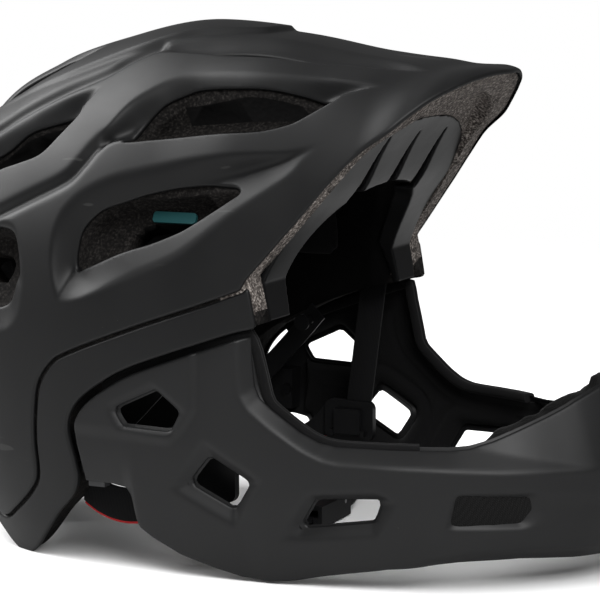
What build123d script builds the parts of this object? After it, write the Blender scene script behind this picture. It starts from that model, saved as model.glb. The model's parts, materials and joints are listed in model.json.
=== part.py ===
from build123d import *
import math
import os

os.makedirs("parts", exist_ok=True)

# Frame: X points to the front, Y to the wearer's left, Z up, floor at zero
# Overall sizes of the dome, in millimetres
helmet_height = 240.0
shell_length = 290.0
shell_width = 212.0
guard_overhang = 60.0
datum_height = 110.0
lower_depth = 200.0
half_width = shell_width / 2
crown_rise = helmet_height - datum_height
total_length = shell_length + guard_overhang
rear_x = -total_length / 2
nose_x = total_length / 2
overrun = 20.0

# Walls and gaps of the shells and the foam
shell_wall = 2.0
bond_gap = 0.2
seam_gap = 1.2
seam_step = 0.6
guard_gap = 3.0
rim_setback = 1.0
edge_setback = 1.6

# Head cavity
cavity_length = 194.0
rear_foam = 28.0
side_foam = 30.0
crown_foam = 32.0
cavity_half_length = cavity_length / 2
cavity_half_width = half_width - side_foam
cavity_top = helmet_height - crown_foam
cavity_x = rear_x + rear_foam + cavity_half_length

# Face port and brow trim
port_half_width = 63.0
port_top = 171.0
port_rise = port_top - datum_height
ring_width = 12.0
trim_wall = 3.0
trim_lip = 2.0
trim_lip_depth = 8.0
trim_face = 28.0
brow_slot_width = 12.0
brow_slot_height = 24.0
brow_slot_pitch = 33.0
brow_slot_count = 3

# Dome sections: place along the length, half width, rise and depth
dome_shares = (
    (0.0, 0.05, 0.05, 0.05),
    (0.014, 0.264, 0.231, 0.17),
    (0.0586, 0.566, 0.515, 0.36),
    (0.1276, 0.774, 0.715, 0.56),
    (0.231, 0.915, 0.854, 0.80),
    (0.3517, 0.981, 0.938, 0.95),
    (0.4897, 1.0, 0.996, 1.0),
    (0.6276, 0.976, 0.969, 1.0),
    (0.7655, 0.863, 0.912, 1.0),
    (0.8345, 0.828, 0.892, 1.0),
    (0.8966, 0.80, 0.885, 1.0),
    (0.9330, 0.730, 0.880, 1.0),
    (0.9586, 0.620, 0.872, 1.0),
    (0.9760, 0.490, 0.860, 1.0),
    (0.9890, 0.340, 0.845, 1.0),
    (0.9965, 0.200, 0.828, 1.0),
    (1.0, 0.08, 0.815, 1.0),
)
rear_exponent = 2.15
front_exponent = 3.0
exponent_start_share = 0.524
exponent_span_share = 0.31

# Cavity sections: height as a share of the top, then the plan's scale
cavity_shares = (
    (-0.06, 0.93),
    (0.03, 0.95),
    (0.12, 0.97),
    (0.21, 0.99),
    (0.30, 1.0),
    (0.40, 1.005),
    (0.50, 1.0),
    (0.60, 0.988),
    (0.70, 0.962),
    (0.79, 0.905),
    (0.86, 0.825),
    (0.92, 0.700),
    (0.96, 0.550),
    (0.985, 0.370),
    (0.997, 0.20),
    (1.0, 0.1),
)
cavity_exponent = 2.6
port_exponent = 2.8

# Side outlines, as shares of the dome's length and of the height
seam_shares = (
    (0.6897, 0.5375),
    (0.633, 0.511),
    (0.526, 0.465),
    (0.410, 0.410),
    (0.376, 0.385),
    (0.352, 0.345),
    (0.342, 0.290),
    (0.337, 0.2375),
    (0.3345, 0.168),
    (0.317, 0.133),
    (0.279, 0.092),
    (0.240, 0.064),
    (0.200, 0.090),
    (0.1276, 0.172),
    (0.0586, 0.225),
    (-0.03, 0.25),
)
rim_shares = (
    (0.698, 0.558),
    (0.7207, 0.592),
    (0.769, 0.667),
    (0.810, 0.732),
    (0.848, 0.786),
    (0.8876, 0.825),
    (0.9197, 0.8646),
    (0.9476, 0.8917),
    (0.9707, 0.9105),
    (0.9886, 0.9167),
    (1.03, 0.925),
)
underside_shares = (
    (0.700, 0.545),
    (0.7207, 0.598),
    (0.760, 0.665),
    (0.787, 0.707),
    (0.805, 0.745),
    (0.830, 0.795),
    (0.855, 0.832),
    (0.886, 0.862),
    (0.921, 0.883),
    (0.955, 0.903),
    (0.9886, 0.920),
    (1.03, 0.935),
)
band_edge_shares = (
    (0.7117, 0.471),
    (0.6655, 0.457),
    (0.524, 0.396),
    (0.462, 0.357),
    (0.418, 0.315),
    (0.400, 0.267),
    (0.408, 0.204),
    (0.410, 0.169),
    (0.398, 0.135),
    (0.362, 0.092),
    (0.303, 0.012),
    (0.270, -0.008),
    (0.240, 0.004),
    (0.1966, 0.055),
    (0.1276, 0.128),
    (0.0586, 0.1667),
    (-0.03, 0.185),
)

# Vents on each side: place along the length and angle from straight up, in degrees
vent_depth = 15.0
vent_bore_share = 0.45
side_low_vent_shares = (
    (0.410, 76.0),
    (0.414, 70.0),
    (0.424, 65.6),
    (0.455, 60.8),
    (0.497, 58.4),
    (0.617, 55.8),
    (0.662, 55.2),
    (0.672, 56.0),
    (0.661, 59.7),
    (0.640, 62.5),
    (0.579, 67.4),
    (0.500, 71.7),
    (0.448, 74.8),
)
side_high_vent_shares = (
    (0.472, 46.3),
    (0.488, 40.6),
    (0.538, 33.9),
    (0.636, 31.6),
    (0.74, 30.8),
    (0.788, 31.6),
    (0.771, 35.5),
    (0.73, 40.6),
    (0.663, 43.8),
    (0.533, 46.0),
)
rear_high_vent_shares = (
    (0.1, 51.5),
    (0.17, 48.3),
    (0.236, 45.2),
    (0.277, 42.0),
    (0.326, 39.4),
    (0.371, 37.8),
    (0.352, 44.1),
    (0.325, 48.8),
    (0.25, 51.7),
    (0.18, 54.4),
    (0.12, 54.8),
)
rear_low_vent_shares = (
    (0.31, 73.0),
    (0.303, 80.0),
    (0.286, 86.0),
    (0.24, 86.6),
    (0.19, 80.5),
    (0.15, 72.0),
    (0.178, 68.0),
    (0.24, 66.6),
    (0.293, 68.0),
)
crown_vent_shares = (
    (0.543, 21.2),
    (0.576, 19.0),
    (0.624, 18.1),
    (0.69, 18.2),
    (0.752, 19.6),
    (0.7, 21.1),
    (0.634, 21.6),
)
rear_crown_vent_shares = (
    (0.12, 25.5),
    (0.135, 17.0),
    (0.225, 12.0),
    (0.295, 12.4),
    (0.29, 17.0),
    (0.21, 24.0),
)
vents = (
    (side_low_vent_shares, 1.01),
    (side_high_vent_shares, 1.11),
    (rear_high_vent_shares, 1.00),
    (rear_low_vent_shares, 0.94),
    (crown_vent_shares, 1.17),
    (rear_crown_vent_shares, 1.02),
)


# Chin guard: overall sizes, wall and section depth
guard_length = 240.0
guard_width = 202.0
guard_height = 118.0
guard_wall = 2.6
guard_depth = 16.0
recess_depth = 1.4
recess_margin = 7.0
guard_half_width = guard_width / 2
guard_rear_x = nose_x - guard_length
# Rows from the rear end to the nose: place along the length, half width, height of the
# bottom, of the bevel's foot and of the top, bevel and tuck as shares of the section depth,
# and which way the wall stands across a steep step
guard_shares = (
    (0.0, 0.990, 0.339, 0.881, 1.0, 0.19, 0.19, 0),
    (0.050, 0.995, 0.339, 0.881, 1.0, 0.19, 0.19, 0),
    (0.133, 1.0, 0.326, 0.898, 1.0, 0.19, 0.25, 1),
    (0.146, 1.0, 0.186, 0.898, 1.0, 0.19, 0.38, 1),
    (0.238, 0.995, 0.073, 0.915, 1.0, 0.19, 0.56, 0),
    (0.321, 0.985, 0.038, 0.924, 1.0, 0.19, 0.69, 0),
    (0.371, 0.975, 0.021, 0.932, 1.0, 0.25, 0.75, -1),
    (0.383, 0.973, 0.004, 0.729, 0.983, 0.38, 0.75, -1),
    (0.400, 0.968, -0.003, 0.703, 0.932, 0.38, 0.75, -1),
    (0.4125, 0.964, -0.007, 0.686, 0.737, 0.38, 0.75, -1),
    (0.450, 0.949, -0.007, 0.640, 0.682, 0.44, 0.75, 0),
    (0.483, 0.931, 0.015, 0.602, 0.644, 0.56, 0.69, 0),
    (0.517, 0.911, 0.034, 0.538, 0.610, 0.69, 0.63, 0),
    (0.554, 0.891, 0.048, 0.475, 0.597, 0.75, 0.56, 0),
    (0.633, 0.842, 0.078, 0.466, 0.581, 0.75, 0.50, 0),
    (0.704, 0.772, 0.090, 0.458, 0.575, 0.75, 0.44, 0),
    (0.758, 0.703, 0.099, 0.460, 0.575, 0.75, 0.38, 0),
    (0.808, 0.629, 0.108, 0.466, 0.585, 0.81, 0.38, 0),
    (0.858, 0.535, 0.102, 0.475, 0.610, 0.88, 0.38, 0),
    (0.904, 0.426, 0.093, 0.483, 0.653, 0.94, 0.38, 0),
    (0.946, 0.307, 0.085, 0.492, 0.686, 0.94, 0.38, 0),
    (0.979, 0.158, 0.081, 0.500, 0.712, 0.94, 0.38, 0),
    (1.0, 0.0, 0.076, 0.508, 0.729, 0.94, 0.38, 0),
)
guard_belly_share = 0.5
window_shares = (
    ((0.204, 0.712), (0.254, 0.624), (0.2375, 0.5746), (0.133, 0.5746), (0.1225, 0.623)),
    ((0.3096, 0.466), (0.385, 0.387), (0.3517, 0.2856), (0.273, 0.3686)),
    ((0.5125, 0.339), (0.625, 0.3475), (0.608, 0.268), (0.481, 0.240)),
    ((0.754, 0.354), (0.850, 0.345), (0.842, 0.280), (0.746, 0.2864)),
)

# Guard liners and chin pad
soft_gap = 0.3
liner_proud = 4.0
liner_thickness = 7.0
liner_gap = 0.6
liner_window_margin = 2.5
liner_rear_share = 0.125
liner_front_share = 0.700
chin_pad_rise = 9.0
chin_pad_thickness = 14.0

# Latches between guard and helmet
latch_length = 18.0
latch_depth = 9.0
latch_height = 20.0
latch_wall = 1.5
latch_rear_share = 0.0396
latch_low_share = 0.365
latch_inner_share = 0.85
tongue_length = 20.0
tongue_height = 10.0
tongue_thickness = 3.0
socket_wall = 2.0
socket_gap = 0.4
socket_setback = 2.5
button_length = 8.0
button_depth = 5.0
button_proud = 3.0
button_head = 9.0
button_head_height = 3.5
spring_radius = 2.0
spring_wire = 0.6
latch_screw_radius = 1.5
latch_screw_head_radius = 2.6
latch_screw_head = 1.2
latch_screw_length = 12.0

# Comfort pads inside the cavity
pad_thickness = 6.0
pad_gap = 0.3
pad_corner = 8.0
crown_pad_length = 96.0
crown_pad_width = 34.0
brow_pad_width = 92.0
brow_pad_low = 176.0
brow_pad_height = 18.0
side_pad_length = 96.0
side_pad_low = 122.0
side_pad_height = 32.0
rear_pad_width = 84.0
rear_pad_low = 96.0
rear_pad_height = 34.0
size_tab_length = 21.0
size_tab_height = 5.0
size_tab_thickness = 1.6
size_tab_corner = 1.5
size_tab_share = 0.55
size_tab_angle = 59.7

# Fit dial, pinion and bands with their racks
housing_front_x = -130.0
dial_height = 19.0
dial_radius = 12.0
dial_thickness = 7.0
dial_grip_count = 12
dial_grip_radius = 1.6
shaft_radius = 2.2
pinion_radius = 5.0
pinion_thickness = 4.0
pinion_tooth_count = 10
tooth_height = 1.0
tooth_mesh = 0.6
running_gap = 0.3
rack_overlap = 12.0
rack_tooth_reach = 4
rack_height = 5.0
rack_thickness = 2.4
rack_reach = 12.0
rack_end = 3.0
housing_width = 62.0
housing_wall = 1.6
cover_wall = 1.6
housing_screw_radius = 1.3
housing_screw_head_radius = 2.2
housing_screw_head = 1.0
housing_screw_pitch = 48.0
fit_band_height = 10.0
fit_band_wall = 1.2
fit_band_inset = 3.5
fit_band_shares = ((0.10, 0.079), (0.293, 0.125), (0.448, 0.270), (0.550, 0.402))
hanger_width = 7.0
hanger_wall = 1.6
hanger_pitch = 34.0
hanger_height = 48.0
hanger_pin_radius = 2.0
hanger_pin_bite = 5.0
anchor_pin_radius = 2.0
anchor_pin_reach = 13.0
anchor_pin_bite = 6.0
anchor_pin_head_radius = 4.0
anchor_pin_head = 1.2

# Straps, dividers and buckle
strap_wall = 1.6
strap_width = 13.0
strap_foot_offset = 5.0
strap_side = 76.0
strap_top_shares = (0.645, 0.478)
divider_length = 26.0
divider_height = 20.0
divider_depth = 4.0
divider_corner = 4.0
divider_shares = (0.600, 0.175)
cam_length = 14.0
cam_height = 12.0
cam_thickness = 3.0
cam_pin_radius = 0.8
cam_lug = 2.0
rear_strap_height = 15.0
rear_strap_wall = 2.4
rear_strap_shares = ((0.380, 0.110), (0.470, 0.078))
strap_anchor_length = 12.0
strap_anchor_height = 6.0
strap_anchor_depth = 9.0
strap_anchor_offset = 3.0
front_anchor_shares = (0.640, 0.492)
rear_anchor_shares = (0.373, 0.158)
chin_strap_width = 18.0
chin_strap_low = 3.0
chin_strap_bend = 20.0
buckle_length = 34.0
buckle_width = 24.0
buckle_height = 10.0
buckle_wall = 2.0
buckle_end = 50.0
lever_thickness = 2.4
lever_barrel_radius = 2.4
lever_pin_radius = 1.2
lever_pin_setback = 6.0
lever_spring_length = 5.0
tongue_bar_length = 46.0
tongue_bar_overlap = 20.0
tongue_bar_thickness = 2.4
tongue_bar_width = 14.0
tongue_tooth_count = 9
strap_pad_length = 44.0
strap_pad_width = 27.0
strap_pad_thickness = 5.0
strap_pad_crown = 2.0


# Dome, cavity and slabs
def scaled(pair):
    """Place of one share pair in the side view."""
    return Vector(rear_x + pair[0] * shell_length, 0, pair[1] * helmet_height)


def crown_exponent(share):
    """Squareness of the dome's upper half at one place along its length."""
    t = min(max((share - exponent_start_share) / exponent_span_share, 0), 1)
    return rear_exponent + (front_exponent - rear_exponent) * t * t * (3 - 2 * t)


def handle_share(power):
    """Length of a curve handle that gives a quarter its squareness."""
    return (8 * 2 ** (-1 / power) - 4) / 3


def dome_section(share, inset):
    """Closed section of the dome, normal to its length."""
    place, width, rise, depth = share
    x = rear_x + inset + place * (shell_length - 2 * inset)
    w = width * (half_width - inset)
    up = rise * (crown_rise - inset)
    down = depth * (lower_depth - inset)
    edges = []
    for side, height in ((-1, up), (1, up), (1, -down), (-1, -down)):
        k = handle_share(crown_exponent(place) if height > 0 else 2)
        flank = Vector(x, side * w, datum_height)
        corner_low = Vector(x, side * w, datum_height + k * height)
        corner_high = Vector(x, side * k * w, datum_height + height)
        top = Vector(x, 0, datum_height + height)
        run = [flank, corner_low, corner_high, top]
        edges.append(Edge.make_bezier(*(run if side * height < 0 else run[::-1])))
    return Wire(edges)


def dome(inset):
    """Solid of the whole dome, drawn in by a wall."""
    return Solid.make_loft([dome_section(row, inset) for row in dome_shares])


def oval(half_length, half_wide, power, height):
    """Closed level oval about the cavity's middle."""
    k = handle_share(power)
    edges = []
    for across, along in ((-1, 1), (1, 1), (1, -1), (-1, -1)):
        flank = Vector(cavity_x, across * half_wide, height)
        near = Vector(cavity_x + along * k * half_length, across * half_wide, height)
        far = Vector(cavity_x + along * half_length, across * k * half_wide, height)
        end = Vector(cavity_x + along * half_length, 0, height)
        run = [flank, near, far, end]
        edges.append(Edge.make_bezier(*(run if across * along < 0 else run[::-1])))
    return Wire(edges)


def cavity(inset):
    """Solid that fills the head cavity, drawn in by a clearance or a pad."""
    rings = []
    for height, plan in cavity_shares:
        rings.append(oval(
            plan * (cavity_half_length - inset),
            plan * (cavity_half_width - inset),
            cavity_exponent,
            height * (cavity_top - inset),
        ))
    return Solid.make_loft(rings)


def shifted(points, distance):
    """Side outline moved sideways, to the left of its run."""
    moved = []
    for k, point in enumerate(points):
        before = points[max(k - 1, 0)]
        after = points[min(k + 1, len(points) - 1)]
        run = (after - before).normalized()
        moved.append(point + Vector(-run.Z, 0, run.X) * distance)
    return moved


def slab(edges, reach):
    """Solid between two side walls from a closed side outline."""
    return extrude(Face(Wire(edges)), amount=reach, dir=(0, 1, 0), both=True)


def line_up(points):
    """Straight edges through a run of points."""
    return [Edge.make_line(a, b) for a, b in zip(points, points[1:])]


def outside_corners(start, end):
    """Corners of the way round the dome, from below the tip to the rear."""
    front = max(start.X, rear_x + shell_length) + overrun
    return [
        start,
        Vector(front, 0, start.Z),
        Vector(front, 0, helmet_height + overrun),
        Vector(rear_x - overrun, 0, helmet_height + overrun),
        Vector(rear_x - overrun, 0, end.Z),
        end,
    ]


def region_above(lower, front):
    """Side slab above a lower line and behind a front line."""
    edges = [Edge.make_spline(front)]
    edges += line_up(outside_corners(front[-1], lower[-1]))
    edges.append(Edge.make_spline(lower[::-1]))
    edges += line_up([lower[0], front[0]])
    return slab(edges, half_width + overrun)


def rim_line(setback):
    """Front rim of the dome in the side view, moved back by a setback."""
    return shifted([scaled(p) for p in rim_shares], setback)


def underside_line(setback):
    """Front of the foam inside the rim's ring, moved back by a setback."""
    return shifted([scaled(p) for p in underside_shares], setback)


def floor_block():
    """Block under the floor that flattens what rests on it."""
    deep = lower_depth
    block = Box(2 * total_length, 2 * shell_width, deep)
    return Pos(0, 0, -deep / 2) * block


def seam_line(offset):
    """Seam between the two shells, moved down by an offset."""
    return shifted([scaled(p) for p in seam_shares], offset)


def band_line(offset):
    """Lower edge of the band, moved up by a negative offset."""
    return shifted([scaled(p) for p in band_edge_shares], offset)


def vent_cutter(outline, shrink, near, far, side):
    """Wedge that runs outwards from the dome's long axis through a vent."""
    middle = sum(p[1] for p in outline) / len(outline)
    centre = sum(p[0] for p in outline) / len(outline)
    rings = []
    for distance in (near, far):
        ring = []
        for share, angle in outline:
            place = centre + (share - centre) * shrink
            lean = math.radians((angle - middle) * shrink)
            across = distance * math.tan(lean)
            turn = math.radians(middle)
            y = distance * math.sin(turn) + across * math.cos(turn)
            z = distance * math.cos(turn) - across * math.sin(turn)
            ring.append(Vector(rear_x + place * shell_length, side * y, datum_height + z))
        rings.append(Wire.make_polygon(ring, close=True))
    return Solid.make_loft(rings, ruled=True)


def vent_cutters(kind):
    """Cutters of all vents, for the shell or for the foam behind it."""
    cutters = []
    for outline, radius_share in vents:
        surface = radius_share * half_width
        far = surface + overrun
        for side in (-1, 1):
            if kind == "shell":
                cutters.append(vent_cutter(outline, 1, surface - vent_depth, far, side))
            else:
                cutters.append(vent_cutter(outline, 1, surface - vent_depth, far, side))
                cutters.append(vent_cutter(outline, vent_bore_share, surface - 3 * side_foam / 2,
                                           far, side))
    return cutters


def port(inset):
    """Arch-ended block along the length that opens the face port."""
    wide = port_half_width - inset
    high = port_rise - inset
    k = handle_share(port_exponent)
    back = cavity_x
    front = nose_x + overrun
    floor = -overrun
    left = [
        Vector(back, wide, datum_height),
        Vector(back, wide, datum_height + k * high),
        Vector(back, k * wide, datum_height + high),
        Vector(back, 0, datum_height + high),
    ]
    right = [Vector(p.X, -p.Y, p.Z) for p in left[::-1]]
    low_right = Vector(back, -wide, floor)
    low_left = Vector(back, wide, floor)
    edges = [Edge.make_bezier(*left), Edge.make_bezier(*right)]
    edges += line_up([right[-1], low_right, low_left, left[0]])
    return extrude(Face(Wire(edges)), amount=front - back, dir=(1, 0, 0))


# Shells, foam and trim
def upper_shell():
    """Thin shell of the dome and visor above the seam."""
    skin = dome(0) & region_above(seam_line(-seam_gap / 2), rim_line(0))
    skin -= dome(shell_wall)
    return skin - vent_cutters("shell")


def lower_shell():
    """Thin band that wraps the sides and the nape below the seam."""
    band = dome(seam_step) & region_above(band_line(0), rim_line(0))
    band -= region_above(seam_line(seam_gap / 2), rim_line(-overrun / 2))
    return band - dome(shell_wall) - floor_block()


def foam_liner():
    """Energy-absorbing foam with the head cavity, the vents and the face port."""
    foam = dome(shell_wall + bond_gap)
    foam &= region_above(band_line(-edge_setback), rim_line(rim_setback))
    foam -= cavity(0)
    foam -= port(-bond_gap)
    ring = dome(shell_wall + ring_width)
    foam -= ring - region_above(band_line(-edge_setback), underside_line(0))
    seat = port(-trim_face - bond_gap) & ring
    foam -= seat - region_above(band_line(overrun), underside_line(trim_wall + bond_gap))
    foam -= floor_block()
    foam -= vent_cutters("foam")
    for side in (-1, 1):
        foam -= latch_socket_block(side, bond_gap)
    return foam


def brow_slots():
    """Pointed vent slots that rise from the lower edge of the brow."""
    slots = []
    for k in range(brow_slot_count):
        y = brow_slot_pitch * (k - (brow_slot_count - 1) / 2)
        low = port_top - brow_slot_height / 3
        corners = [
            Vector(0, y - brow_slot_width / 2, low),
            Vector(0, y + brow_slot_width / 2, low),
            Vector(0, y, low + brow_slot_height * 4 / 3),
        ]
        face = Face(Wire.make_polygon(corners, close=True))
        slots.append(extrude(face, amount=nose_x, dir=(1, 0, 0)))
    return slots


def brow_trim():
    """Moulded trim that lines the face port from temple to temple."""
    behind = region_above(band_line(-edge_setback), underside_line(0))
    plate = behind - region_above(band_line(overrun), underside_line(trim_wall))
    plate &= dome(shell_wall + ring_width + bond_gap)
    plate &= port(-trim_face)
    lip = behind - region_above(band_line(overrun), underside_line(trim_lip_depth))
    lip &= port(0)
    trim = plate + lip
    trim -= port(trim_lip)
    return trim - brow_slots()


# Chin guard
def guard_row(row, wall, proud):
    """Closed section of the guard's blank, square to its plan, drawn in by a wall."""
    k = guard_shares.index(row)
    before = guard_shares[max(k - 1, 0)]
    after = guard_shares[min(k + 1, len(guard_shares) - 1)]
    along = (after[0] - before[0]) * guard_length
    across = (before[1] - after[1]) * guard_half_width
    normal = Vector(across, along, 0).normalized() if row[1] > 0 else Vector(1, 0, 0)
    x = guard_rear_x + row[0] * guard_length + row[7] * wall
    y = row[1] * guard_half_width
    low = row[2] * guard_height
    foot = row[3] * guard_height
    top = row[4] * guard_height
    bevel = row[5] * guard_depth
    tuck = row[6] * guard_depth
    belly = low + guard_belly_share * (foot - low)
    profile = (
        (tuck + wall, low + wall),
        (tuck * guard_belly_share ** 3 + wall, belly),
        (wall, foot - wall / 2),
        (bevel + wall / 2, top - wall),
        (guard_depth + proud, top - wall),
        (guard_depth + proud, low + wall),
    )
    points = [Vector(x - normal.X * u, y - normal.Y * u, z) for u, z in profile]
    return Wire.make_polygon(points, close=True)


def guard_blank(wall, proud):
    """Solid of the whole guard, drawn in by a wall and thickened inwards."""
    half = Solid.make_loft([guard_row(row, wall, proud) for row in guard_shares], ruled=True)
    return half + mirror(half, Plane.XZ)


def guard_place(pair):
    """Place of one share pair in the guard's side view."""
    return Vector(guard_rear_x + pair[0] * guard_length, 0, pair[1] * guard_height)


def window_block(outline, margin):
    """Block across the guard through one window, widened by a margin."""
    points = [guard_place(p) for p in outline]
    centre = sum(points, Vector(0, 0, 0)) / len(points)
    radius = sum((p - centre).length for p in points) / len(points)
    grown = [centre + (p - centre) * (1 + margin / radius) for p in points]
    edges = line_up(grown + [grown[0]])
    return slab(edges, half_width + overrun)


def helmet_keep_out(gap):
    """Space that the dome's band and rim keep free of the guard."""
    return region_above(band_line(gap), rim_line(-gap))


def chin_guard():
    """Thin-walled chin guard with its windows and their recesses."""
    guard = guard_blank(0, 0) - guard_blank(guard_wall, 1)
    inner = guard_blank(recess_depth, 0)
    for outline in window_shares:
        guard -= window_block(outline, recess_margin) - inner
        guard -= window_block(outline, 0)
    guard -= helmet_keep_out(guard_gap)
    guard -= floor_block()
    for side in (-1, 1):
        guard -= button_block(side, running_gap, button_proud)
        guard -= latch_screw(side, running_gap)
    return guard


def guard_lining(gap):
    """Soft filling of the whole guard, before it is parted, below the helmet by a gap."""
    lining = guard_blank(guard_wall + soft_gap, liner_proud)
    for outline in window_shares:
        lining -= window_block(outline, liner_window_margin)
    return lining - helmet_keep_out(gap)


def thin_lining():
    """Pads of both arms, wrapped round the guard's edges and open to the inside."""
    return guard_lining(liner_gap) - guard_blank(guard_wall + soft_gap + liner_thickness, overrun)


def guard_liner(lining, side):
    """Soft pad along one arm of the guard."""
    rear = guard_rear_x + liner_rear_share * guard_length
    front = guard_rear_x + liner_front_share * guard_length
    middle = (rear + front) / 2
    block = Box(front - rear, shell_width, helmet_height)
    return lining & Pos(middle, side * half_width, helmet_height / 2) * block


def chin_pad(lining):
    """Crowned pad behind the nose of the guard, standing above its edge."""
    rear = guard_rear_x + liner_front_share * guard_length + soft_gap
    block = Box(guard_length, shell_width, helmet_height)
    base = lining & Pos(rear + guard_length / 2, 0, helmet_height / 2) * block
    rows = []
    for row in guard_shares[-6:]:
        rows.append(row)
    crest = []
    for row in rows:
        x = guard_rear_x + row[0] * guard_length
        y = row[1] * guard_half_width
        k = guard_shares.index(row)
        before = guard_shares[k - 1]
        after = guard_shares[min(k + 1, len(guard_shares) - 1)]
        along = (after[0] - before[0]) * guard_length
        across = (before[1] - after[1]) * guard_half_width
        normal = Vector(across, along, 0).normalized() if y > 0 else Vector(1, 0, 0)
        near = guard_depth + soft_gap
        far = guard_depth + chin_pad_thickness
        low = row[2] * guard_height + guard_wall
        top = row[4] * guard_height + chin_pad_rise * (1 - row[1])
        waist = (near + far) / 2
        profile = (
            (near, low + guard_wall),
            (waist, low),
            (far, (2 * low + top) / 3),
            (far, (low + 2 * top) / 3),
            (waist, top),
            (near, top - guard_wall),
        )
        points = [Vector(x - normal.X * u, y - normal.Y * u, z) for u, z in profile]
        crest.append(Wire.make_polygon(points, close=True))
    half = Solid.make_loft(crest, ruled=True)
    return base + half + mirror(half, Plane.XZ)


# Latches
def latch_rear():
    """Rear face of the latch housing."""
    return guard_rear_x + latch_rear_share * guard_length


def latch_low():
    """Height of the latch housing's underside."""
    return latch_low_share * guard_height


def latch_inner():
    """Distance of the latch housing's inner face from the middle."""
    return latch_inner_share * guard_half_width


def button_x():
    """Place of the button's middle along the length."""
    return latch_rear() + latch_wall + running_gap + button_head / 2


def upright_box(x, y, low, length, depth, height):
    """Box that stands on a height, centred in plan."""
    return Pos(x, y, low + height / 2) * Box(length, depth, height)


def latch_middle_y(side):
    """Middle of the latch housing across the helmet."""
    return side * (latch_inner() + latch_depth / 2)


def latch_screw(side, gap):
    """Screw that holds a latch housing to the guard's wall."""
    x = latch_rear() + latch_length - latch_screw_radius - latch_wall
    z = latch_low() + latch_height / 2
    inner = latch_inner()
    shaft = Pos(x, side * (inner + latch_screw_length / 2), z) * Rot(90, 0, 0) * Cylinder(
        latch_screw_radius + gap, latch_screw_length)
    head = Pos(x, side * (inner - latch_screw_head / 2), z) * Rot(90, 0, 0) * Cylinder(
        latch_screw_head_radius, latch_screw_head)
    return shaft + head


def latch_housing(side, inside):
    """Housing on the guard's rear end, with its tongue and the button's well."""
    middle = latch_rear() + latch_length / 2
    y = latch_middle_y(side)
    low = latch_low()
    deep = guard_half_width - latch_inner()
    housing = upright_box(middle, side * (latch_inner() + deep / 2), low, latch_length, deep,
                          latch_height)
    housing &= inside
    tongue_low = low + (latch_height - tongue_height) / 2
    housing += upright_box(latch_rear() - tongue_length / 2 + latch_wall / 2, y, tongue_low,
                           tongue_length + latch_wall, tongue_thickness, tongue_height)
    well = latch_height - 2 * latch_wall
    housing -= upright_box(button_x(), y, low + latch_wall, button_head + 2 * running_gap,
                           button_depth + 2 * running_gap, well)
    housing -= upright_box(button_x(), y, low - overrun, button_length + 2 * running_gap,
                           button_depth + 2 * running_gap, overrun + latch_wall)
    return housing - latch_screw(side, 0)


def button_block(side, gap, proud):
    """Column that the button fills below the latch housing."""
    low = guard_shares[1][2] * guard_height - proud
    height = latch_low() + latch_wall - low
    return upright_box(button_x(), latch_middle_y(side), low, button_length + 2 * gap,
                       button_depth + 2 * gap, height)


def release_button(side):
    """Push button below the guard's rear end, with its retaining head."""
    head = upright_box(button_x(), latch_middle_y(side), latch_low() + latch_wall,
                       button_head, button_depth, button_head_height)
    return button_block(side, 0, button_proud) + head


def button_spring(side):
    """Return spring between the button's head and the housing's roof."""
    low = latch_low() + latch_wall + button_head_height
    height = latch_height - 2 * latch_wall - button_head_height
    tube = Cylinder(spring_radius, height) - Cylinder(spring_radius - spring_wire, height)
    return Pos(button_x(), latch_middle_y(side), low + height / 2) * tube


def latch_socket_block(side, gap):
    """Outer block of the socket that the foam holds."""
    wall = socket_wall + socket_gap
    front = latch_rear() - socket_setback
    rear = latch_rear() - tongue_length - wall
    low = latch_low() + (latch_height - tongue_height) / 2 - wall
    return upright_box((front + rear) / 2 - gap / 2, latch_middle_y(side), low - gap,
                       front - rear + gap, tongue_thickness + 2 * wall + 2 * gap,
                       tongue_height + 2 * wall + 2 * gap)


def latch_socket(side):
    """Socket in the foam that takes the guard's tongue."""
    low = latch_low() + (latch_height - tongue_height) / 2 - socket_gap
    slot = upright_box(latch_rear() - tongue_length / 2 - socket_gap / 2, latch_middle_y(side),
                       low, tongue_length + socket_gap, tongue_thickness + 2 * socket_gap,
                       tongue_height + 2 * socket_gap)
    return latch_socket_block(side, 0) - slot


# Comfort pads
def lining_piece(block, inset, thickness):
    """Part of a layer on the cavity's wall that lies in one block."""
    return (cavity(inset) & block) - cavity(inset + thickness)


def pad(origin, x_dir, z_dir, length, height):
    """One comfort pad, cut out of the lining by a rounded block."""
    face = Plane(origin, x_dir=x_dir, z_dir=z_dir) * RectangleRounded(length, height, pad_corner)
    return lining_piece(extrude(face, amount=shell_length), pad_gap, pad_thickness)


def comfort_pads():
    """Pads on the cavity's wall, by name."""
    forward = Vector(1, 0, 0)
    leftward = Vector(0, 1, 0)
    crown_place = Vector(cavity_x, 0, datum_height)
    brow_place = Vector(cavity_x + cavity_half_length / 2, 0, brow_pad_low + brow_pad_height / 2)
    rear_place = Vector(cavity_x, 0, rear_pad_low + rear_pad_height / 2)
    side_place = Vector(cavity_x, 0, side_pad_low + side_pad_height / 2)
    up = Vector(0, 0, 1)
    return {
        "crown_pad": pad(crown_place, forward, up, crown_pad_length, crown_pad_width),
        "brow_pad": pad(brow_place, leftward, forward, brow_pad_width, brow_pad_height),
        "rear_pad": pad(rear_place, leftward, -forward, rear_pad_width, rear_pad_height),
        "side_pad_left": pad(side_place, forward, leftward, side_pad_length, side_pad_height),
        "side_pad_right": pad(side_place, forward, -leftward, side_pad_length, side_pad_height),
    }


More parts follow.
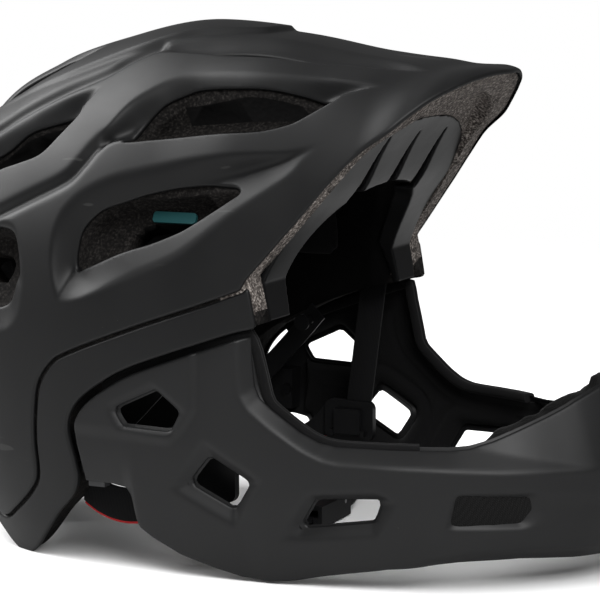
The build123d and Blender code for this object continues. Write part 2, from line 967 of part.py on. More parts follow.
def size_tab():
    """Coloured tab on the foam inside the right lower vent."""
    outline, radius_share = vents[0]
    middle = math.radians(sum(p[1] for p in outline) / len(outline))
    floor = radius_share * half_width - vent_depth
    lean = math.radians(size_tab_angle) - middle
    outward = Vector(0, -math.sin(middle), math.cos(middle))
    down = Vector(0, -math.cos(middle), -math.sin(middle))
    x = rear_x + size_tab_share * shell_length
    place = Vector(x, 0, datum_height) + outward * floor + down * floor * math.tan(lean)
    face = Plane(place, x_dir=(1, 0, 0), z_dir=outward)
    return extrude(face * RectangleRounded(size_tab_length, size_tab_height, size_tab_corner),
                   amount=size_tab_thickness)


# Retention system
rack_centre = pinion_radius - tooth_mesh + (rack_height + tooth_height) / 2
housing_inner_height = 2 * (rack_centre + (rack_height - tooth_height) / 2 + running_gap)
housing_height = housing_inner_height + 2 * housing_wall
housing_inner_depth = pinion_thickness + 2 * running_gap
housing_back_x = housing_front_x - housing_wall - housing_inner_depth
gear_x = housing_front_x - housing_wall - housing_inner_depth / 2
dial_front_x = housing_back_x - cover_wall - running_gap


def along_x(x, y, z, radius, length):
    """Cylinder along the length, centred on its place."""
    return Pos(x, y, z) * Rot(0, 90, 0) * Cylinder(radius, length)


def housing_screws(gap):
    """Screws that hold the cover on the dial housing."""
    screws = []
    reach = cover_wall + housing_inner_depth
    for side in (-1, 1):
        y = side * housing_screw_pitch / 2
        shaft = along_x(housing_back_x - cover_wall + reach / 2, y, dial_height,
                        housing_screw_radius + gap, reach)
        head = along_x(housing_back_x - cover_wall - housing_screw_head / 2, y, dial_height,
                       housing_screw_head_radius, housing_screw_head)
        screws.append(shaft + head)
    return screws


def dial_housing():
    """Tray of the fit dial with its two hangers, screw posts and rack slots."""
    depth = housing_front_x - housing_back_x
    x = (housing_front_x + housing_back_x) / 2
    tray = Pos(x, 0, dial_height) * Box(depth, housing_width, housing_height)
    inner = Box(housing_inner_depth, housing_width - 2 * housing_wall, housing_inner_height)
    tray -= Pos(gear_x, 0, dial_height) * inner
    for side in (-1, 1):
        y = side * housing_screw_pitch / 2
        tray += along_x(gear_x, y, dial_height, housing_screw_radius + housing_wall,
                        housing_inner_depth)
        slot = Box(rack_thickness + 2 * running_gap, 2 * housing_wall,
                   rack_height - tooth_height + 2 * running_gap)
        tray -= Pos(gear_x, side * (housing_width - housing_wall) / 2,
                    dial_height + side * rack_centre) * slot
        low = dial_height + housing_height / 2 - housing_wall
        tray += upright_box(housing_front_x - hanger_wall / 2, side * hanger_pitch / 2, low,
                            hanger_wall, hanger_width, hanger_height)
        tray -= hanger_pin(side, 0)
    for screw in housing_screws(0):
        tray -= screw
    return tray


def hanger_pin(side, gap):
    """Pin that holds a hanger to the foam at the nape."""
    height = dial_height + housing_height / 2 + hanger_height - hanger_width
    rear = rear_x + rear_foam - hanger_pin_bite
    length = housing_front_x - rear
    return along_x(rear + length / 2, side * hanger_pitch / 2, height, hanger_pin_radius + gap,
                   length)


def housing_cover():
    """Rear cover of the dial housing with the shaft's hole."""
    cover = Pos(housing_back_x - cover_wall / 2, 0, dial_height) * Box(
        cover_wall, housing_width, housing_height)
    cover -= along_x(housing_back_x, 0, dial_height, shaft_radius + running_gap, 2 * overrun)
    for screw in housing_screws(0):
        cover -= screw
    return cover


def fit_dial():
    """Round dial with finger grips."""
    dial = along_x(dial_front_x - dial_thickness / 2, 0, dial_height, dial_radius, dial_thickness)
    for k in range(dial_grip_count):
        turn = 2 * math.pi * k / dial_grip_count
        dial -= along_x(dial_front_x - dial_thickness / 2, dial_radius * math.cos(turn),
                        dial_height + dial_radius * math.sin(turn), dial_grip_radius,
                        2 * dial_thickness)
    return dial


def pinion():
    """Toothed wheel and its shaft, which the dial turns."""
    root = pinion_radius - tooth_height
    wheel = along_x(gear_x, 0, dial_height, root, pinion_thickness)
    pitch = 2 * math.pi * pinion_radius / pinion_tooth_count
    for k in range(pinion_tooth_count):
        tooth = Pos(gear_x, 0, dial_height) * Rot(360 * k / pinion_tooth_count, 0, 0) * Pos(
            0, 0, pinion_radius - tooth_height) * Box(pinion_thickness, pitch / 3, 2 * tooth_height)
        wheel += tooth
    wheel &= along_x(gear_x, 0, dial_height, pinion_radius, pinion_thickness)
    length = gear_x - dial_front_x
    return wheel + along_x((gear_x + dial_front_x) / 2, 0, dial_height, shaft_radius, length)


def fit_band(side):
    """Band round one side of the head, with the rack that the pinion pulls."""
    pitch = 2 * math.pi * pinion_radius / pinion_tooth_count
    inner = -rack_overlap
    outer = housing_width / 2 + rack_reach
    bar_height = rack_height - tooth_height
    z = dial_height + side * rack_centre
    band = Pos(gear_x, side * (inner + outer) / 2, z) * Box(rack_thickness, outer - inner, bar_height)
    for k in range(1 - rack_tooth_reach, rack_tooth_reach + 1):
        y = side * pitch * (k + 1 / 2)
        band += Pos(gear_x, y, z - side * (bar_height + tooth_height) / 2) * Box(
            rack_thickness, pitch / 3, tooth_height)
    line = [scaled(p) for p in fit_band_shares]
    upper = shifted(line, fit_band_height / 2)
    lower = shifted(line, -fit_band_height / 2)
    strip = slab([Edge.make_spline(upper)] + line_up([upper[-1], lower[-1]])
                 + [Edge.make_spline(lower[::-1])] + line_up([lower[0], upper[0]]),
                 half_width)
    start = outer - rack_end
    strip &= Pos(0, side * (start + shell_width / 2), 0) * Box(
        2 * total_length, shell_width, 2 * helmet_height)
    layer = lining_piece(strip, fit_band_inset, fit_band_wall)
    link_rear = gear_x - rack_thickness / 2
    link_front = housing_front_x + fit_band_wall
    height = 2 * rack_centre + bar_height
    link = Pos((link_rear + link_front) / 2, side * (outer - rack_end / 2), dial_height) * Box(
        link_front - link_rear, rack_end, height)
    band += layer + link
    return band - anchor_pin(side, running_gap)


def anchor_pin(side, gap):
    """Headed pin at the temple that a band's end slides on."""
    place = scaled(fit_band_shares[-1]) - Vector(fit_band_height / 2, 0, fit_band_height / 2)
    share = abs(place.X - cavity_x) / cavity_half_length
    wall = cavity_half_width * (1 - share ** cavity_exponent) ** (1 / cavity_exponent)
    length = anchor_pin_reach + anchor_pin_bite
    shaft = Pos(place.X, side * (wall + anchor_pin_bite - length / 2), place.Z) * Rot(
        90, 0, 0) * Cylinder(anchor_pin_radius + gap, length)
    head = Pos(place.X, side * (wall - anchor_pin_reach - anchor_pin_head / 2), place.Z) * Rot(
        90, 0, 0) * Cylinder(anchor_pin_head_radius, anchor_pin_head)
    return shaft + head


# Straps and buckle
def helmet_above(gap):
    """Space of the foam's lower edge, widened downwards by a gap."""
    return region_above(band_line(gap - edge_setback), rim_line(0))


def divider_place():
    """Middle of a strap divider in the side view."""
    return scaled(divider_shares)


def strap_front(side):
    """Webbing from the temple's anchor down to the divider."""
    top = scaled(strap_top_shares)
    foot = divider_place() + Vector(strap_foot_offset, 0, divider_height / 2)
    across = Vector(strap_width / 2, 0, 0)
    edges = line_up([top - across, top + across, foot + across, foot - across, top - across])
    web = extrude(Face(Wire(edges)), amount=strap_wall / 2, dir=(0, 1, 0), both=True)
    return Pos(0, side * strap_side, 0) * web - helmet_above(0)


def strap_rear(side):
    """Doubled webbing that sags from the nape's anchor to the divider."""
    start, low = [scaled(p) for p in rear_strap_shares]
    foot = divider_place() - Vector(divider_length / 2, 0, rear_strap_height / 2)
    rise = Vector(0, 0, rear_strap_height)
    lower = Edge.make_three_point_arc(start, low, foot)
    upper = Edge.make_three_point_arc(foot + rise, low + rise, start + rise)
    edges = [lower] + line_up([foot, foot + rise]) + [upper] + line_up([start + rise, start])
    web = extrude(Face(Wire(edges)), amount=rear_strap_wall / 2, dir=(0, 1, 0), both=True)
    return Pos(0, side * strap_side, 0) * web - helmet_above(0)


def strap_anchor(shares, side, gap):
    """Anchor buried in the foam above a strap's end."""
    place = scaled(shares)
    return Pos(place.X, side * (strap_side + strap_anchor_offset), place.Z) * Box(
        strap_anchor_length + gap, strap_anchor_depth + gap, strap_anchor_height + gap)


def strap_divider(side):
    """Rounded plate that joins three straps below the ear, with lugs for its cam."""
    place = divider_place() + Vector(0, side * (strap_side + divider_depth / 2), 0)
    face = Plane(place, x_dir=(1, 0, 0), z_dir=(0, -side, 0))
    plate = extrude(face * RectangleRounded(divider_length, divider_height, divider_corner),
                    amount=divider_depth)
    pin = cam_pin_place(side)
    for end in (-1, 1):
        x = pin.X + end * (cam_length / 2 + running_gap + cam_lug / 2)
        plate += Pos(x, pin.Y, pin.Z) * Box(cam_lug, cam_thickness, cam_thickness)
    return plate - cam_pin(side)


def cam_pin_place(side):
    """Middle of the cam's pin, on the divider's inner face."""
    return divider_place() + Vector(
        0, side * (strap_side - divider_depth / 2 - cam_thickness / 2), -cam_height / 2)


def cam_pin(side):
    """Pin along the lower edge of a divider's cam."""
    place = cam_pin_place(side)
    length = cam_length + 2 * running_gap + 2 * cam_lug
    return along_x(place.X, place.Y, place.Z, cam_pin_radius, length)


def divider_cam(side):
    """Locking flap on the inner face of a divider."""
    place = cam_pin_place(side)
    radius = cam_thickness / 2 - running_gap
    flap = Pos(place.X, place.Y, place.Z + cam_height / 2) * Box(
        cam_length, 2 * radius, cam_height)
    barrel = along_x(place.X, place.Y, place.Z, radius, cam_length)
    return flap + barrel - cam_pin(side)


strap_middle = chin_strap_low + strap_wall / 2


def chin_strap():
    """Webbing from divider to divider under the chin, before it is parted."""
    top = divider_place().Z - divider_height / 2
    with BuildSketch(Plane.YZ) as sketch:
        with BuildLine():
            path = FilletPolyline(
                (strap_side, top), (strap_side, strap_middle), (-strap_side, strap_middle),
                (-strap_side, top), radius=chin_strap_bend)
        trace(path, line_width=strap_wall)
    web = extrude(sketch.sketch, amount=chin_strap_width / 2, both=True)
    return Pos(divider_place().X, 0, 0) * web


def chin_strap_half(web, side):
    """One half of the chin strap, up to the buckle or the tongue."""
    start = buckle_end if side > 0 else tongue_start()
    block = Box(shell_length, shell_width, helmet_height)
    return web & Pos(0, start + side * shell_width / 2, 0) * block


def tongue_start():
    """Right end of the ratchet tongue, across the helmet."""
    return buckle_end - buckle_length - tongue_bar_length + tongue_bar_overlap


def buckle_x():
    """Middle of the buckle along the helmet's length."""
    return divider_place().X


def lever_axis():
    """Place of the lever's pin across the helmet and in height."""
    y = buckle_end - lever_pin_setback
    z = chin_strap_low - buckle_wall + buckle_height - lever_barrel_radius
    return y, z


def buckle_housing():
    """Buckle body with the tongue's slot, the lever's well and the pin's holes."""
    y = buckle_end - buckle_length / 2
    low = chin_strap_low - buckle_wall
    body = upright_box(buckle_x(), y, low, buckle_width, buckle_length, buckle_height)
    slot = Box(tongue_bar_width + 2 * running_gap, buckle_length, tongue_bar_thickness + 2 * running_gap)
    body -= Pos(buckle_x(), y - 2 * buckle_wall, strap_middle) * slot
    axis_y, axis_z = lever_axis()
    well_low = strap_middle + tongue_bar_thickness / 2 + running_gap
    body -= upright_box(buckle_x(), y - buckle_wall, well_low, buckle_width - 2 * buckle_wall,
                        buckle_length, buckle_height)
    return body - along_x(buckle_x(), axis_y, axis_z, lever_pin_radius, buckle_width)


def buckle_lever():
    """Release lever that hinges on the buckle."""
    axis_y, axis_z = lever_axis()
    wide = buckle_width - 2 * buckle_wall - 2 * running_gap
    length = axis_y - (buckle_end - buckle_length) - buckle_wall
    top = axis_z + lever_barrel_radius
    plate = upright_box(buckle_x(), axis_y - length / 2, top - lever_thickness, wide, length,
                        lever_thickness)
    barrel = along_x(buckle_x(), axis_y, axis_z, lever_barrel_radius, wide)
    pawl_low = strap_middle + tongue_bar_thickness / 2 + running_gap
    pawl = upright_box(buckle_x(), axis_y - length / 2, pawl_low,
                       tongue_bar_width - 2 * tooth_height, lever_thickness,
                       top - lever_thickness - pawl_low)
    lever = plate + barrel + pawl
    lever -= along_x(buckle_x() + wide / 2 - lever_spring_length / 2, axis_y, axis_z,
                     lever_barrel_radius + running_gap, lever_spring_length)
    return lever - along_x(buckle_x(), axis_y, axis_z, lever_pin_radius, 2 * buckle_width)


def lever_pin():
    """Pin that the lever turns on."""
    axis_y, axis_z = lever_axis()
    return along_x(buckle_x(), axis_y, axis_z, lever_pin_radius, buckle_width)


def lever_spring():
    """Return spring round the lever's pin."""
    axis_y, axis_z = lever_axis()
    wide = buckle_width - 2 * buckle_wall - 2 * running_gap
    x = buckle_x() + wide / 2 - lever_spring_length / 2
    length = lever_spring_length - 2 * running_gap
    coil = along_x(x, axis_y, axis_z, lever_barrel_radius - running_gap, length)
    return coil - along_x(x, axis_y, axis_z, lever_pin_radius, 2 * length)


def ratchet_tongue():
    """Toothed tongue that the buckle grips."""
    front = tongue_start()
    end = front + tongue_bar_length
    bar = Pos(buckle_x(), (front + end) / 2, strap_middle) * Box(
        tongue_bar_width, end - front, tongue_bar_thickness - tooth_height)
    for k in range(tongue_tooth_count):
        y = end - tooth_height * (1 + 2 * k)
        bar += Pos(buckle_x(), y, strap_middle + tongue_bar_thickness / 2 - tooth_height / 2) * Box(
            tongue_bar_width - 2 * tooth_height, tooth_height, tooth_height)
    return bar


def chin_strap_pad():
    """Crowned pad that lies on the right half of the chin strap."""
    low = chin_strap_low + strap_wall
    half = strap_pad_width / 2
    x = buckle_x()
    side_top = low + strap_pad_thickness - strap_pad_crown
    corner = Vector(x - half, 0, low)
    shoulder = Vector(x - half + strap_pad_crown / 2, 0, side_top)
    crown = Vector(x, 0, low + strap_pad_thickness)
    far_shoulder = Vector(x + half - strap_pad_crown / 2, 0, side_top)
    far_corner = Vector(x + half, 0, low)
    edges = line_up([corner, shoulder])
    edges.append(Edge.make_three_point_arc(shoulder, crown, far_shoulder))
    edges += line_up([far_shoulder, far_corner, corner])
    body = extrude(Face(Wire(edges)), amount=strap_pad_length, dir=(0, -1, 0))
    return Pos(0, tongue_start() - soft_gap, 0) * body


# Build and write every piece
def build():
    """All pieces by name."""
    parts = {
        "upper_shell": upper_shell(),
        "lower_shell": lower_shell(),
        "brow_trim": brow_trim(),
        "chin_guard": chin_guard(),
        "size_tab": size_tab(),
        "dial_housing": dial_housing(),
        "housing_cover": housing_cover(),
        "housing_screws": Compound(children=housing_screws(0)),
        "fit_dial": fit_dial(),
        "pinion": pinion(),
        "buckle_housing": buckle_housing(),
        "buckle_lever": buckle_lever(),
        "lever_pin": lever_pin(),
        "lever_spring": lever_spring(),
        "ratchet_tongue": ratchet_tongue(),
        "chin_strap_pad": chin_strap_pad(),
    }
    parts.update(comfort_pads())
    foam = foam_liner()
    anchors = []
    lining = thin_lining()
    inside = guard_blank(guard_wall, 1)
    web = chin_strap()
    parts["chin_pad"] = chin_pad(guard_lining(guard_gap + soft_gap))
    for side, hand in ((1, "left"), (-1, "right")):
        for shares in (front_anchor_shares, rear_anchor_shares):
            anchors.append(strap_anchor(shares, side, 0))
            foam -= strap_anchor(shares, side, bond_gap)
        foam -= hanger_pin(side, 0)
        foam -= anchor_pin(side, 0)
        parts["guard_liner_" + hand] = guard_liner(lining, side)
        parts["latch_housing_" + hand] = latch_housing(side, inside)
        parts["latch_socket_" + hand] = latch_socket(side)
        parts["release_button_" + hand] = release_button(side)
        parts["button_spring_" + hand] = button_spring(side)
        parts["fit_band_" + hand] = fit_band(side)
        parts["strap_front_" + hand] = strap_front(side)
        parts["strap_rear_" + hand] = strap_rear(side)
        parts["strap_divider_" + hand] = strap_divider(side)
        parts["divider_cam_" + hand] = divider_cam(side)
        parts["chin_strap_" + hand] = chin_strap_half(web, side)
    parts["foam_liner"] = foam
    parts["strap_anchors"] = Compound(children=anchors)
    parts["latch_screws"] = Compound(children=[latch_screw(side, 0) for side in (-1, 1)])
    parts["hanger_pins"] = Compound(children=[hanger_pin(side, 0) for side in (-1, 1)])
    parts["temple_pins"] = Compound(children=[anchor_pin(side, 0) for side in (-1, 1)])
    parts["cam_pins"] = Compound(children=[cam_pin(side) for side in (-1, 1)])
    return parts


for name, piece in build().items():
    export_step(piece, "parts/" + name + ".step")
    print(name, len(piece.solids()), round(piece.volume))
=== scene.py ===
import json
import logging
import math
from dataclasses import dataclass, field
from enum import Enum
from typing import Callable, Iterable, Optional, Sequence

import bmesh
import bpy
import numpy as np
from mathutils import Matrix, Vector


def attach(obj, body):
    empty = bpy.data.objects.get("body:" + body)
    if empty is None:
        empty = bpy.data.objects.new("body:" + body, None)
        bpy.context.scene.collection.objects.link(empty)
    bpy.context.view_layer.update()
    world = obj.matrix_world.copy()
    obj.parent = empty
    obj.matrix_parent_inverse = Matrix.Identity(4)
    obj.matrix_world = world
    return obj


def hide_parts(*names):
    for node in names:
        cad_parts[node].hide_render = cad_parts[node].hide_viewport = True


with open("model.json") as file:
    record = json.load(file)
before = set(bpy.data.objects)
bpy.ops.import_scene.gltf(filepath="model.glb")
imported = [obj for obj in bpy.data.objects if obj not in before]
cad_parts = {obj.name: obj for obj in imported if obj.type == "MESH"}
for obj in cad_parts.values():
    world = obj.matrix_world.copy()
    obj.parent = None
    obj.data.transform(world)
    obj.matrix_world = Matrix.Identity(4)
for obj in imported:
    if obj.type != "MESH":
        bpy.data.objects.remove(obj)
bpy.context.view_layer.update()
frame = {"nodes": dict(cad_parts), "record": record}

MM = 0.001
LOG = logging.getLogger("full_face_helmet")
Pair = tuple[float, float]


class Side(Enum):
    """Side of the helmet, as the sign of Y."""

    LEFT = 1
    RIGHT = -1

    @property
    def word(self) -> str:
        """Name ending of the side's pieces."""
        return "left" if self is Side.LEFT else "right"


# Shader groups
def new_group(name: str, inputs: dict[str, float], outputs: dict[str, str]) -> bpy.types.NodeTree:
    """Start a shader node group with named sockets.

    Args:
        name: name of the group.
        inputs: float inputs and their default values.
        outputs: output names and socket types.

    Returns:
        The new group, with its group input and output nodes added.
    """
    tree = bpy.data.node_groups.new(name, "ShaderNodeTree")
    tree.interface.new_socket("Vector", in_out="INPUT", socket_type="NodeSocketVector")
    for key, value in inputs.items():
        socket = tree.interface.new_socket(key, in_out="INPUT", socket_type="NodeSocketFloat")
        socket.default_value = value
    for key, kind in outputs.items():
        tree.interface.new_socket(key, in_out="OUTPUT", socket_type=kind)
    tree.nodes.new("NodeGroupInput").name = "In"
    tree.nodes.new("NodeGroupOutput").name = "Out"
    return tree


def noise_node(tree: bpy.types.NodeTree, scale: float, detail: float = 2.0,
               rough: float = 0.5) -> bpy.types.Node:
    """Add a noise texture with its settings."""
    node = tree.nodes.new("ShaderNodeTexNoise")
    node.inputs["Scale"].default_value = scale
    node.inputs["Detail"].default_value = detail
    node.inputs["Roughness"].default_value = rough
    return node


def ramp_node(tree: bpy.types.NodeTree, stops: Sequence[tuple[float, tuple]]) -> bpy.types.Node:
    """Add a colour ramp with its stops."""
    node = tree.nodes.new("ShaderNodeValToRGB")
    ramp = node.color_ramp
    while len(ramp.elements) < len(stops):
        ramp.elements.new(0.5)
    for element, (place, colour) in zip(ramp.elements, stops):
        element.position = place
        element.color = (*colour, 1.0)
    return node


class Groups:
    """Shader groups that several finishes share, each built once."""

    def __init__(self) -> None:
        """Build every group."""
        self.grain = self._grain()
        self.dust = self._dust()
        self.scuff = self._scuff()
        self.weave = self._weave()

    def _grain(self) -> bpy.types.NodeTree:
        """Fine moulded grain: a height for bump and a mask for roughness."""
        tree = new_group("MouldGrain", {"Scale": 1.0}, {"Height": "NodeSocketFloat",
                                                       "Mask": "NodeSocketFloat"})
        ins, outs = tree.nodes["In"], tree.nodes["Out"]
        size = tree.nodes.new("ShaderNodeVectorMath")
        size.operation = "SCALE"
        fine = noise_node(tree, 2600.0, 1.0)
        broad = noise_node(tree, 45.0, 3.0)
        tree.links.new(ins.outputs["Vector"], size.inputs[0])
        tree.links.new(ins.outputs["Scale"], size.inputs["Scale"])
        tree.links.new(size.outputs[0], fine.inputs["Vector"])
        tree.links.new(size.outputs[0], broad.inputs["Vector"])
        tree.links.new(fine.outputs["Fac"], outs.inputs["Height"])
        tree.links.new(broad.outputs["Fac"], outs.inputs["Mask"])
        return tree

    def _dust(self) -> bpy.types.NodeTree:
        """Sparse pale specks of dust as a mask."""
        tree = new_group("DustSpecks", {"Amount": 0.5}, {"Mask": "NodeSocketFloat"})
        ins, outs = tree.nodes["In"], tree.nodes["Out"]
        cells = tree.nodes.new("ShaderNodeTexVoronoi")
        cells.inputs["Scale"].default_value = 170.0
        near = tree.nodes.new("ShaderNodeMath")
        near.operation = "LESS_THAN"
        near.inputs[1].default_value = 0.045
        keep = tree.nodes.new("ShaderNodeMath")
        keep.operation = "GREATER_THAN"
        keep.inputs[1].default_value = 0.80
        both = tree.nodes.new("ShaderNodeMath")
        both.operation = "MULTIPLY"
        share = tree.nodes.new("ShaderNodeMath")
        share.operation = "MULTIPLY"
        tree.links.new(ins.outputs["Vector"], cells.inputs["Vector"])
        tree.links.new(cells.outputs["Distance"], near.inputs[0])
        tree.links.new(cells.outputs["Color"], keep.inputs[0])
        tree.links.new(near.outputs[0], both.inputs[0])
        tree.links.new(keep.outputs[0], both.inputs[1])
        tree.links.new(both.outputs[0], share.inputs[0])
        tree.links.new(ins.outputs["Amount"], share.inputs[1])
        tree.links.new(share.outputs[0], outs.inputs["Mask"])
        return tree

    def _scuff(self) -> bpy.types.NodeTree:
        """Few thin long scratches as a mask."""
        tree = new_group("FineScuffs", {"Amount": 0.4}, {"Mask": "NodeSocketFloat"})
        ins, outs = tree.nodes["In"], tree.nodes["Out"]
        stretch = tree.nodes.new("ShaderNodeMapping")
        stretch.inputs["Rotation"].default_value = (0.4, 0.9, 0.3)
        stretch.inputs["Scale"].default_value = (9.0, 120.0, 120.0)
        lines = noise_node(tree, 1.6, 1.0)
        step = tree.nodes.new("ShaderNodeMapRange")
        step.inputs["From Min"].default_value = 0.735
        step.inputs["From Max"].default_value = 0.76
        share = tree.nodes.new("ShaderNodeMath")
        share.operation = "MULTIPLY"
        tree.links.new(ins.outputs["Vector"], stretch.inputs["Vector"])
        tree.links.new(stretch.outputs[0], lines.inputs["Vector"])
        tree.links.new(lines.outputs["Fac"], step.inputs["Value"])
        tree.links.new(step.outputs[0], share.inputs[0])
        tree.links.new(ins.outputs["Amount"], share.inputs[1])
        tree.links.new(share.outputs[0], outs.inputs["Mask"])
        return tree

    def _weave(self) -> bpy.types.NodeTree:
        """Woven cloth: crossed threads as a height."""
        tree = new_group("ClothWeave", {"Threads": 900.0}, {"Height": "NodeSocketFloat"})
        ins, outs = tree.nodes["In"], tree.nodes["Out"]
        size = tree.nodes.new("ShaderNodeVectorMath")
        size.operation = "SCALE"
        tree.links.new(ins.outputs["Vector"], size.inputs[0])
        tree.links.new(ins.outputs["Threads"], size.inputs["Scale"])
        turn = tree.nodes.new("ShaderNodeMapping")
        turn.inputs["Rotation"].default_value = (0.6, 0.5, 0.7)
        tree.links.new(size.outputs[0], turn.inputs["Vector"])
        parts = tree.nodes.new("ShaderNodeSeparateXYZ")
        tree.links.new(turn.outputs[0], parts.inputs[0])
        total: Optional[bpy.types.Node] = None
        for axis in ("X", "Y", "Z"):
            wave = tree.nodes.new("ShaderNodeMath")
            wave.operation = "SINE"
            tree.links.new(parts.outputs[axis], wave.inputs[0])
            if total is None:
                total = wave
                continue
            join = tree.nodes.new("ShaderNodeMath")
            join.operation = "MULTIPLY"
            tree.links.new(total.outputs[0], join.inputs[0])
            tree.links.new(wave.outputs[0], join.inputs[1])
            total = join
        tree.links.new(total.outputs[0], outs.inputs["Height"])
        return tree


GROUPS = Groups()


def start_material(name: str) -> tuple[bpy.types.Material, bpy.types.NodeTree, bpy.types.Node]:
    """Make an empty material with one Principled shader.

    Args:
        name: name of the material.

    Returns:
        The material, its tree and the Principled shader.
    """
    material = bpy.data.materials.new(name)
    material.use_nodes = True
    return material, material.node_tree, material.node_tree.nodes["Principled BSDF"]


def place_group(tree: bpy.types.NodeTree, group: bpy.types.NodeTree, **values: float) -> bpy.types.Node:
    """Place a shared group on Object coordinates with its own values."""
    node = tree.nodes.new("ShaderNodeGroup")
    node.node_tree = group
    where = tree.nodes.get("Where")
    if where is None:
        where = tree.nodes.new("ShaderNodeTexCoord")
        where.name = "Where"
    tree.links.new(where.outputs["Object"], node.inputs["Vector"])
    for key, value in values.items():
        node.inputs[key].default_value = value
    return node


def mix_colours(tree: bpy.types.NodeTree, mask: bpy.types.NodeSocket,
                first: tuple | bpy.types.NodeSocket,
                second: tuple | bpy.types.NodeSocket) -> bpy.types.NodeSocket:
    """Mix two colours by a mask and give the resulting socket."""
    node = tree.nodes.new("ShaderNodeMix")
    node.data_type = "RGBA"
    tree.links.new(mask, node.inputs["Factor"])
    for key, value in (("A", first), ("B", second)):
        socket = [s for s in node.inputs if s.name == key and s.type == "RGBA"][0]
        if isinstance(value, tuple):
            socket.default_value = (*value, 1.0)
        else:
            tree.links.new(value, socket)
    return [s for s in node.outputs if s.type == "RGBA"][0]


def add_bump(tree: bpy.types.NodeTree, shader: bpy.types.Node, height: bpy.types.NodeSocket,
             strength: float, distance: float) -> None:
    """Link a height to the shader's normal through a Bump node."""
    bump = tree.nodes.new("ShaderNodeBump")
    bump.inputs["Strength"].default_value = strength
    bump.inputs["Distance"].default_value = distance
    tree.links.new(height, bump.inputs["Height"])
    tree.links.new(bump.outputs["Normal"], shader.inputs["Normal"])


@dataclass(frozen=True)
class MouldedPlastic:
    """Moulded plastic with a fine grain, dust and scuffs."""

    name: str
    colour: tuple[float, float, float]
    worn: tuple[float, float, float]
    roughness: float
    specular: float = 0.5
    grain: float = 0.25
    dust: float = 0.0
    scuffs: float = 0.0
    coat: float = 0.0

    def build(self) -> bpy.types.Material:
        """Build the material."""
        material, tree, shader = start_material(self.name)
        shader.inputs["Specular IOR Level"].default_value = self.specular
        shader.inputs["Coat Weight"].default_value = self.coat
        shader.inputs["Coat Roughness"].default_value = 0.12
        grain = place_group(tree, GROUPS.grain, Scale=1.0)
        rough = tree.nodes.new("ShaderNodeMapRange")
        rough.inputs["To Min"].default_value = self.roughness - 0.07
        rough.inputs["To Max"].default_value = self.roughness + 0.07
        tree.links.new(grain.outputs["Mask"], rough.inputs["Value"])
        tree.links.new(rough.outputs[0], shader.inputs["Roughness"])
        colour = mix_colours(tree, grain.outputs["Mask"], self.colour,
                             tuple(c * 1.18 for c in self.colour))
        if self.scuffs:
            scuff = place_group(tree, GROUPS.scuff, Amount=self.scuffs)
            colour = mix_colours(tree, scuff.outputs["Mask"], colour, self.worn)
        if self.dust:
            dust = place_group(tree, GROUPS.dust, Amount=self.dust)
            colour = mix_colours(tree, dust.outputs["Mask"], colour, self.worn)
        tree.links.new(colour, shader.inputs["Base Color"])
        add_bump(tree, shader, grain.outputs["Height"], self.grain, 0.00006)
        return material


@dataclass(frozen=True)
class BeadFoam:
    """Expanded foam of fused beads, mottled, with darker joints, and painted shade on the faces that the
    mesh marks.
    """

    name: str
    dark: tuple[float, float, float]
    middle: tuple[float, float, float]
    pale: tuple[float, float, float]
    # Near-black colour for the marked faces: the head cavity's dark lining with painted shade, and
    # painted shade in the vents.
    lining_and_shade: tuple[float, float, float] = (0.0022, 0.0021, 0.0021)

    def build(self) -> bpy.types.Material:
        """Build the material."""
        material, tree, shader = start_material(self.name)
        where = tree.nodes.new("ShaderNodeTexCoord")
        fine = noise_node(tree, 900.0, 3.0, 0.65)
        tree.links.new(where.outputs["Object"], fine.inputs["Vector"])
        colour = ramp_node(tree, ((0.36, self.dark), (0.5, self.middle), (0.66, self.pale)))
        tree.links.new(fine.outputs["Fac"], colour.inputs["Fac"])
        beads = tree.nodes.new("ShaderNodeTexVoronoi")
        beads.inputs["Scale"].default_value = 380.0
        tree.links.new(where.outputs["Object"], beads.inputs["Vector"])
        joint = tree.nodes.new("ShaderNodeMapRange")
        joint.inputs["From Min"].default_value = 0.35
        joint.inputs["From Max"].default_value = 0.75
        joint.inputs["To Max"].default_value = 0.45
        tree.links.new(beads.outputs["Distance"], joint.inputs["Value"])
        mixed = mix_colours(tree, joint.outputs[0], colour.outputs["Color"], self.dark)
        # Painted shade: marked faces are mixed towards the near-black colour, for the shade deep in the
        # head cavity and in the vent pockets.
        lining_and_shade = tree.nodes.new("ShaderNodeAttribute")
        lining_and_shade.attribute_name = "lining_and_painted_shade"
        mixed = mix_colours(tree, lining_and_shade.outputs["Fac"], mixed, self.lining_and_shade)
        tree.links.new(mixed, shader.inputs["Base Color"])
        shader.inputs["Roughness"].default_value = 0.9
        shader.inputs["Specular IOR Level"].default_value = 0.14
        add_bump(tree, shader, beads.outputs["Distance"], 0.5, 0.0004)
        return material


@dataclass(frozen=True)
class Cloth:
    """Black cloth with a weave, soft sheen and colour variation."""

    name: str
    colour: tuple[float, float, float]
    lifted: tuple[float, float, float]
    threads: float = 900.0
    bump: float = 0.5
    depth: float = 0.0002
    sheen: float = 0.15

    def build(self) -> bpy.types.Material:
        """Build the material."""
        material, tree, shader = start_material(self.name)
        shader.inputs["Roughness"].default_value = 0.95
        shader.inputs["Specular IOR Level"].default_value = 0.2
        shader.inputs["Sheen Weight"].default_value = self.sheen
        shader.inputs["Sheen Roughness"].default_value = 0.5
        weave = place_group(tree, GROUPS.weave, Threads=self.threads)
        thread = tree.nodes.new("ShaderNodeMapRange")
        thread.inputs["From Min"].default_value = -0.4
        thread.inputs["From Max"].default_value = 0.6
        tree.links.new(weave.outputs["Height"], thread.inputs["Value"])
        colour = mix_colours(tree, thread.outputs[0], self.colour, self.lifted)
        tree.links.new(colour, shader.inputs["Base Color"])
        add_bump(tree, shader, weave.outputs["Height"], self.bump, self.depth)
        return material


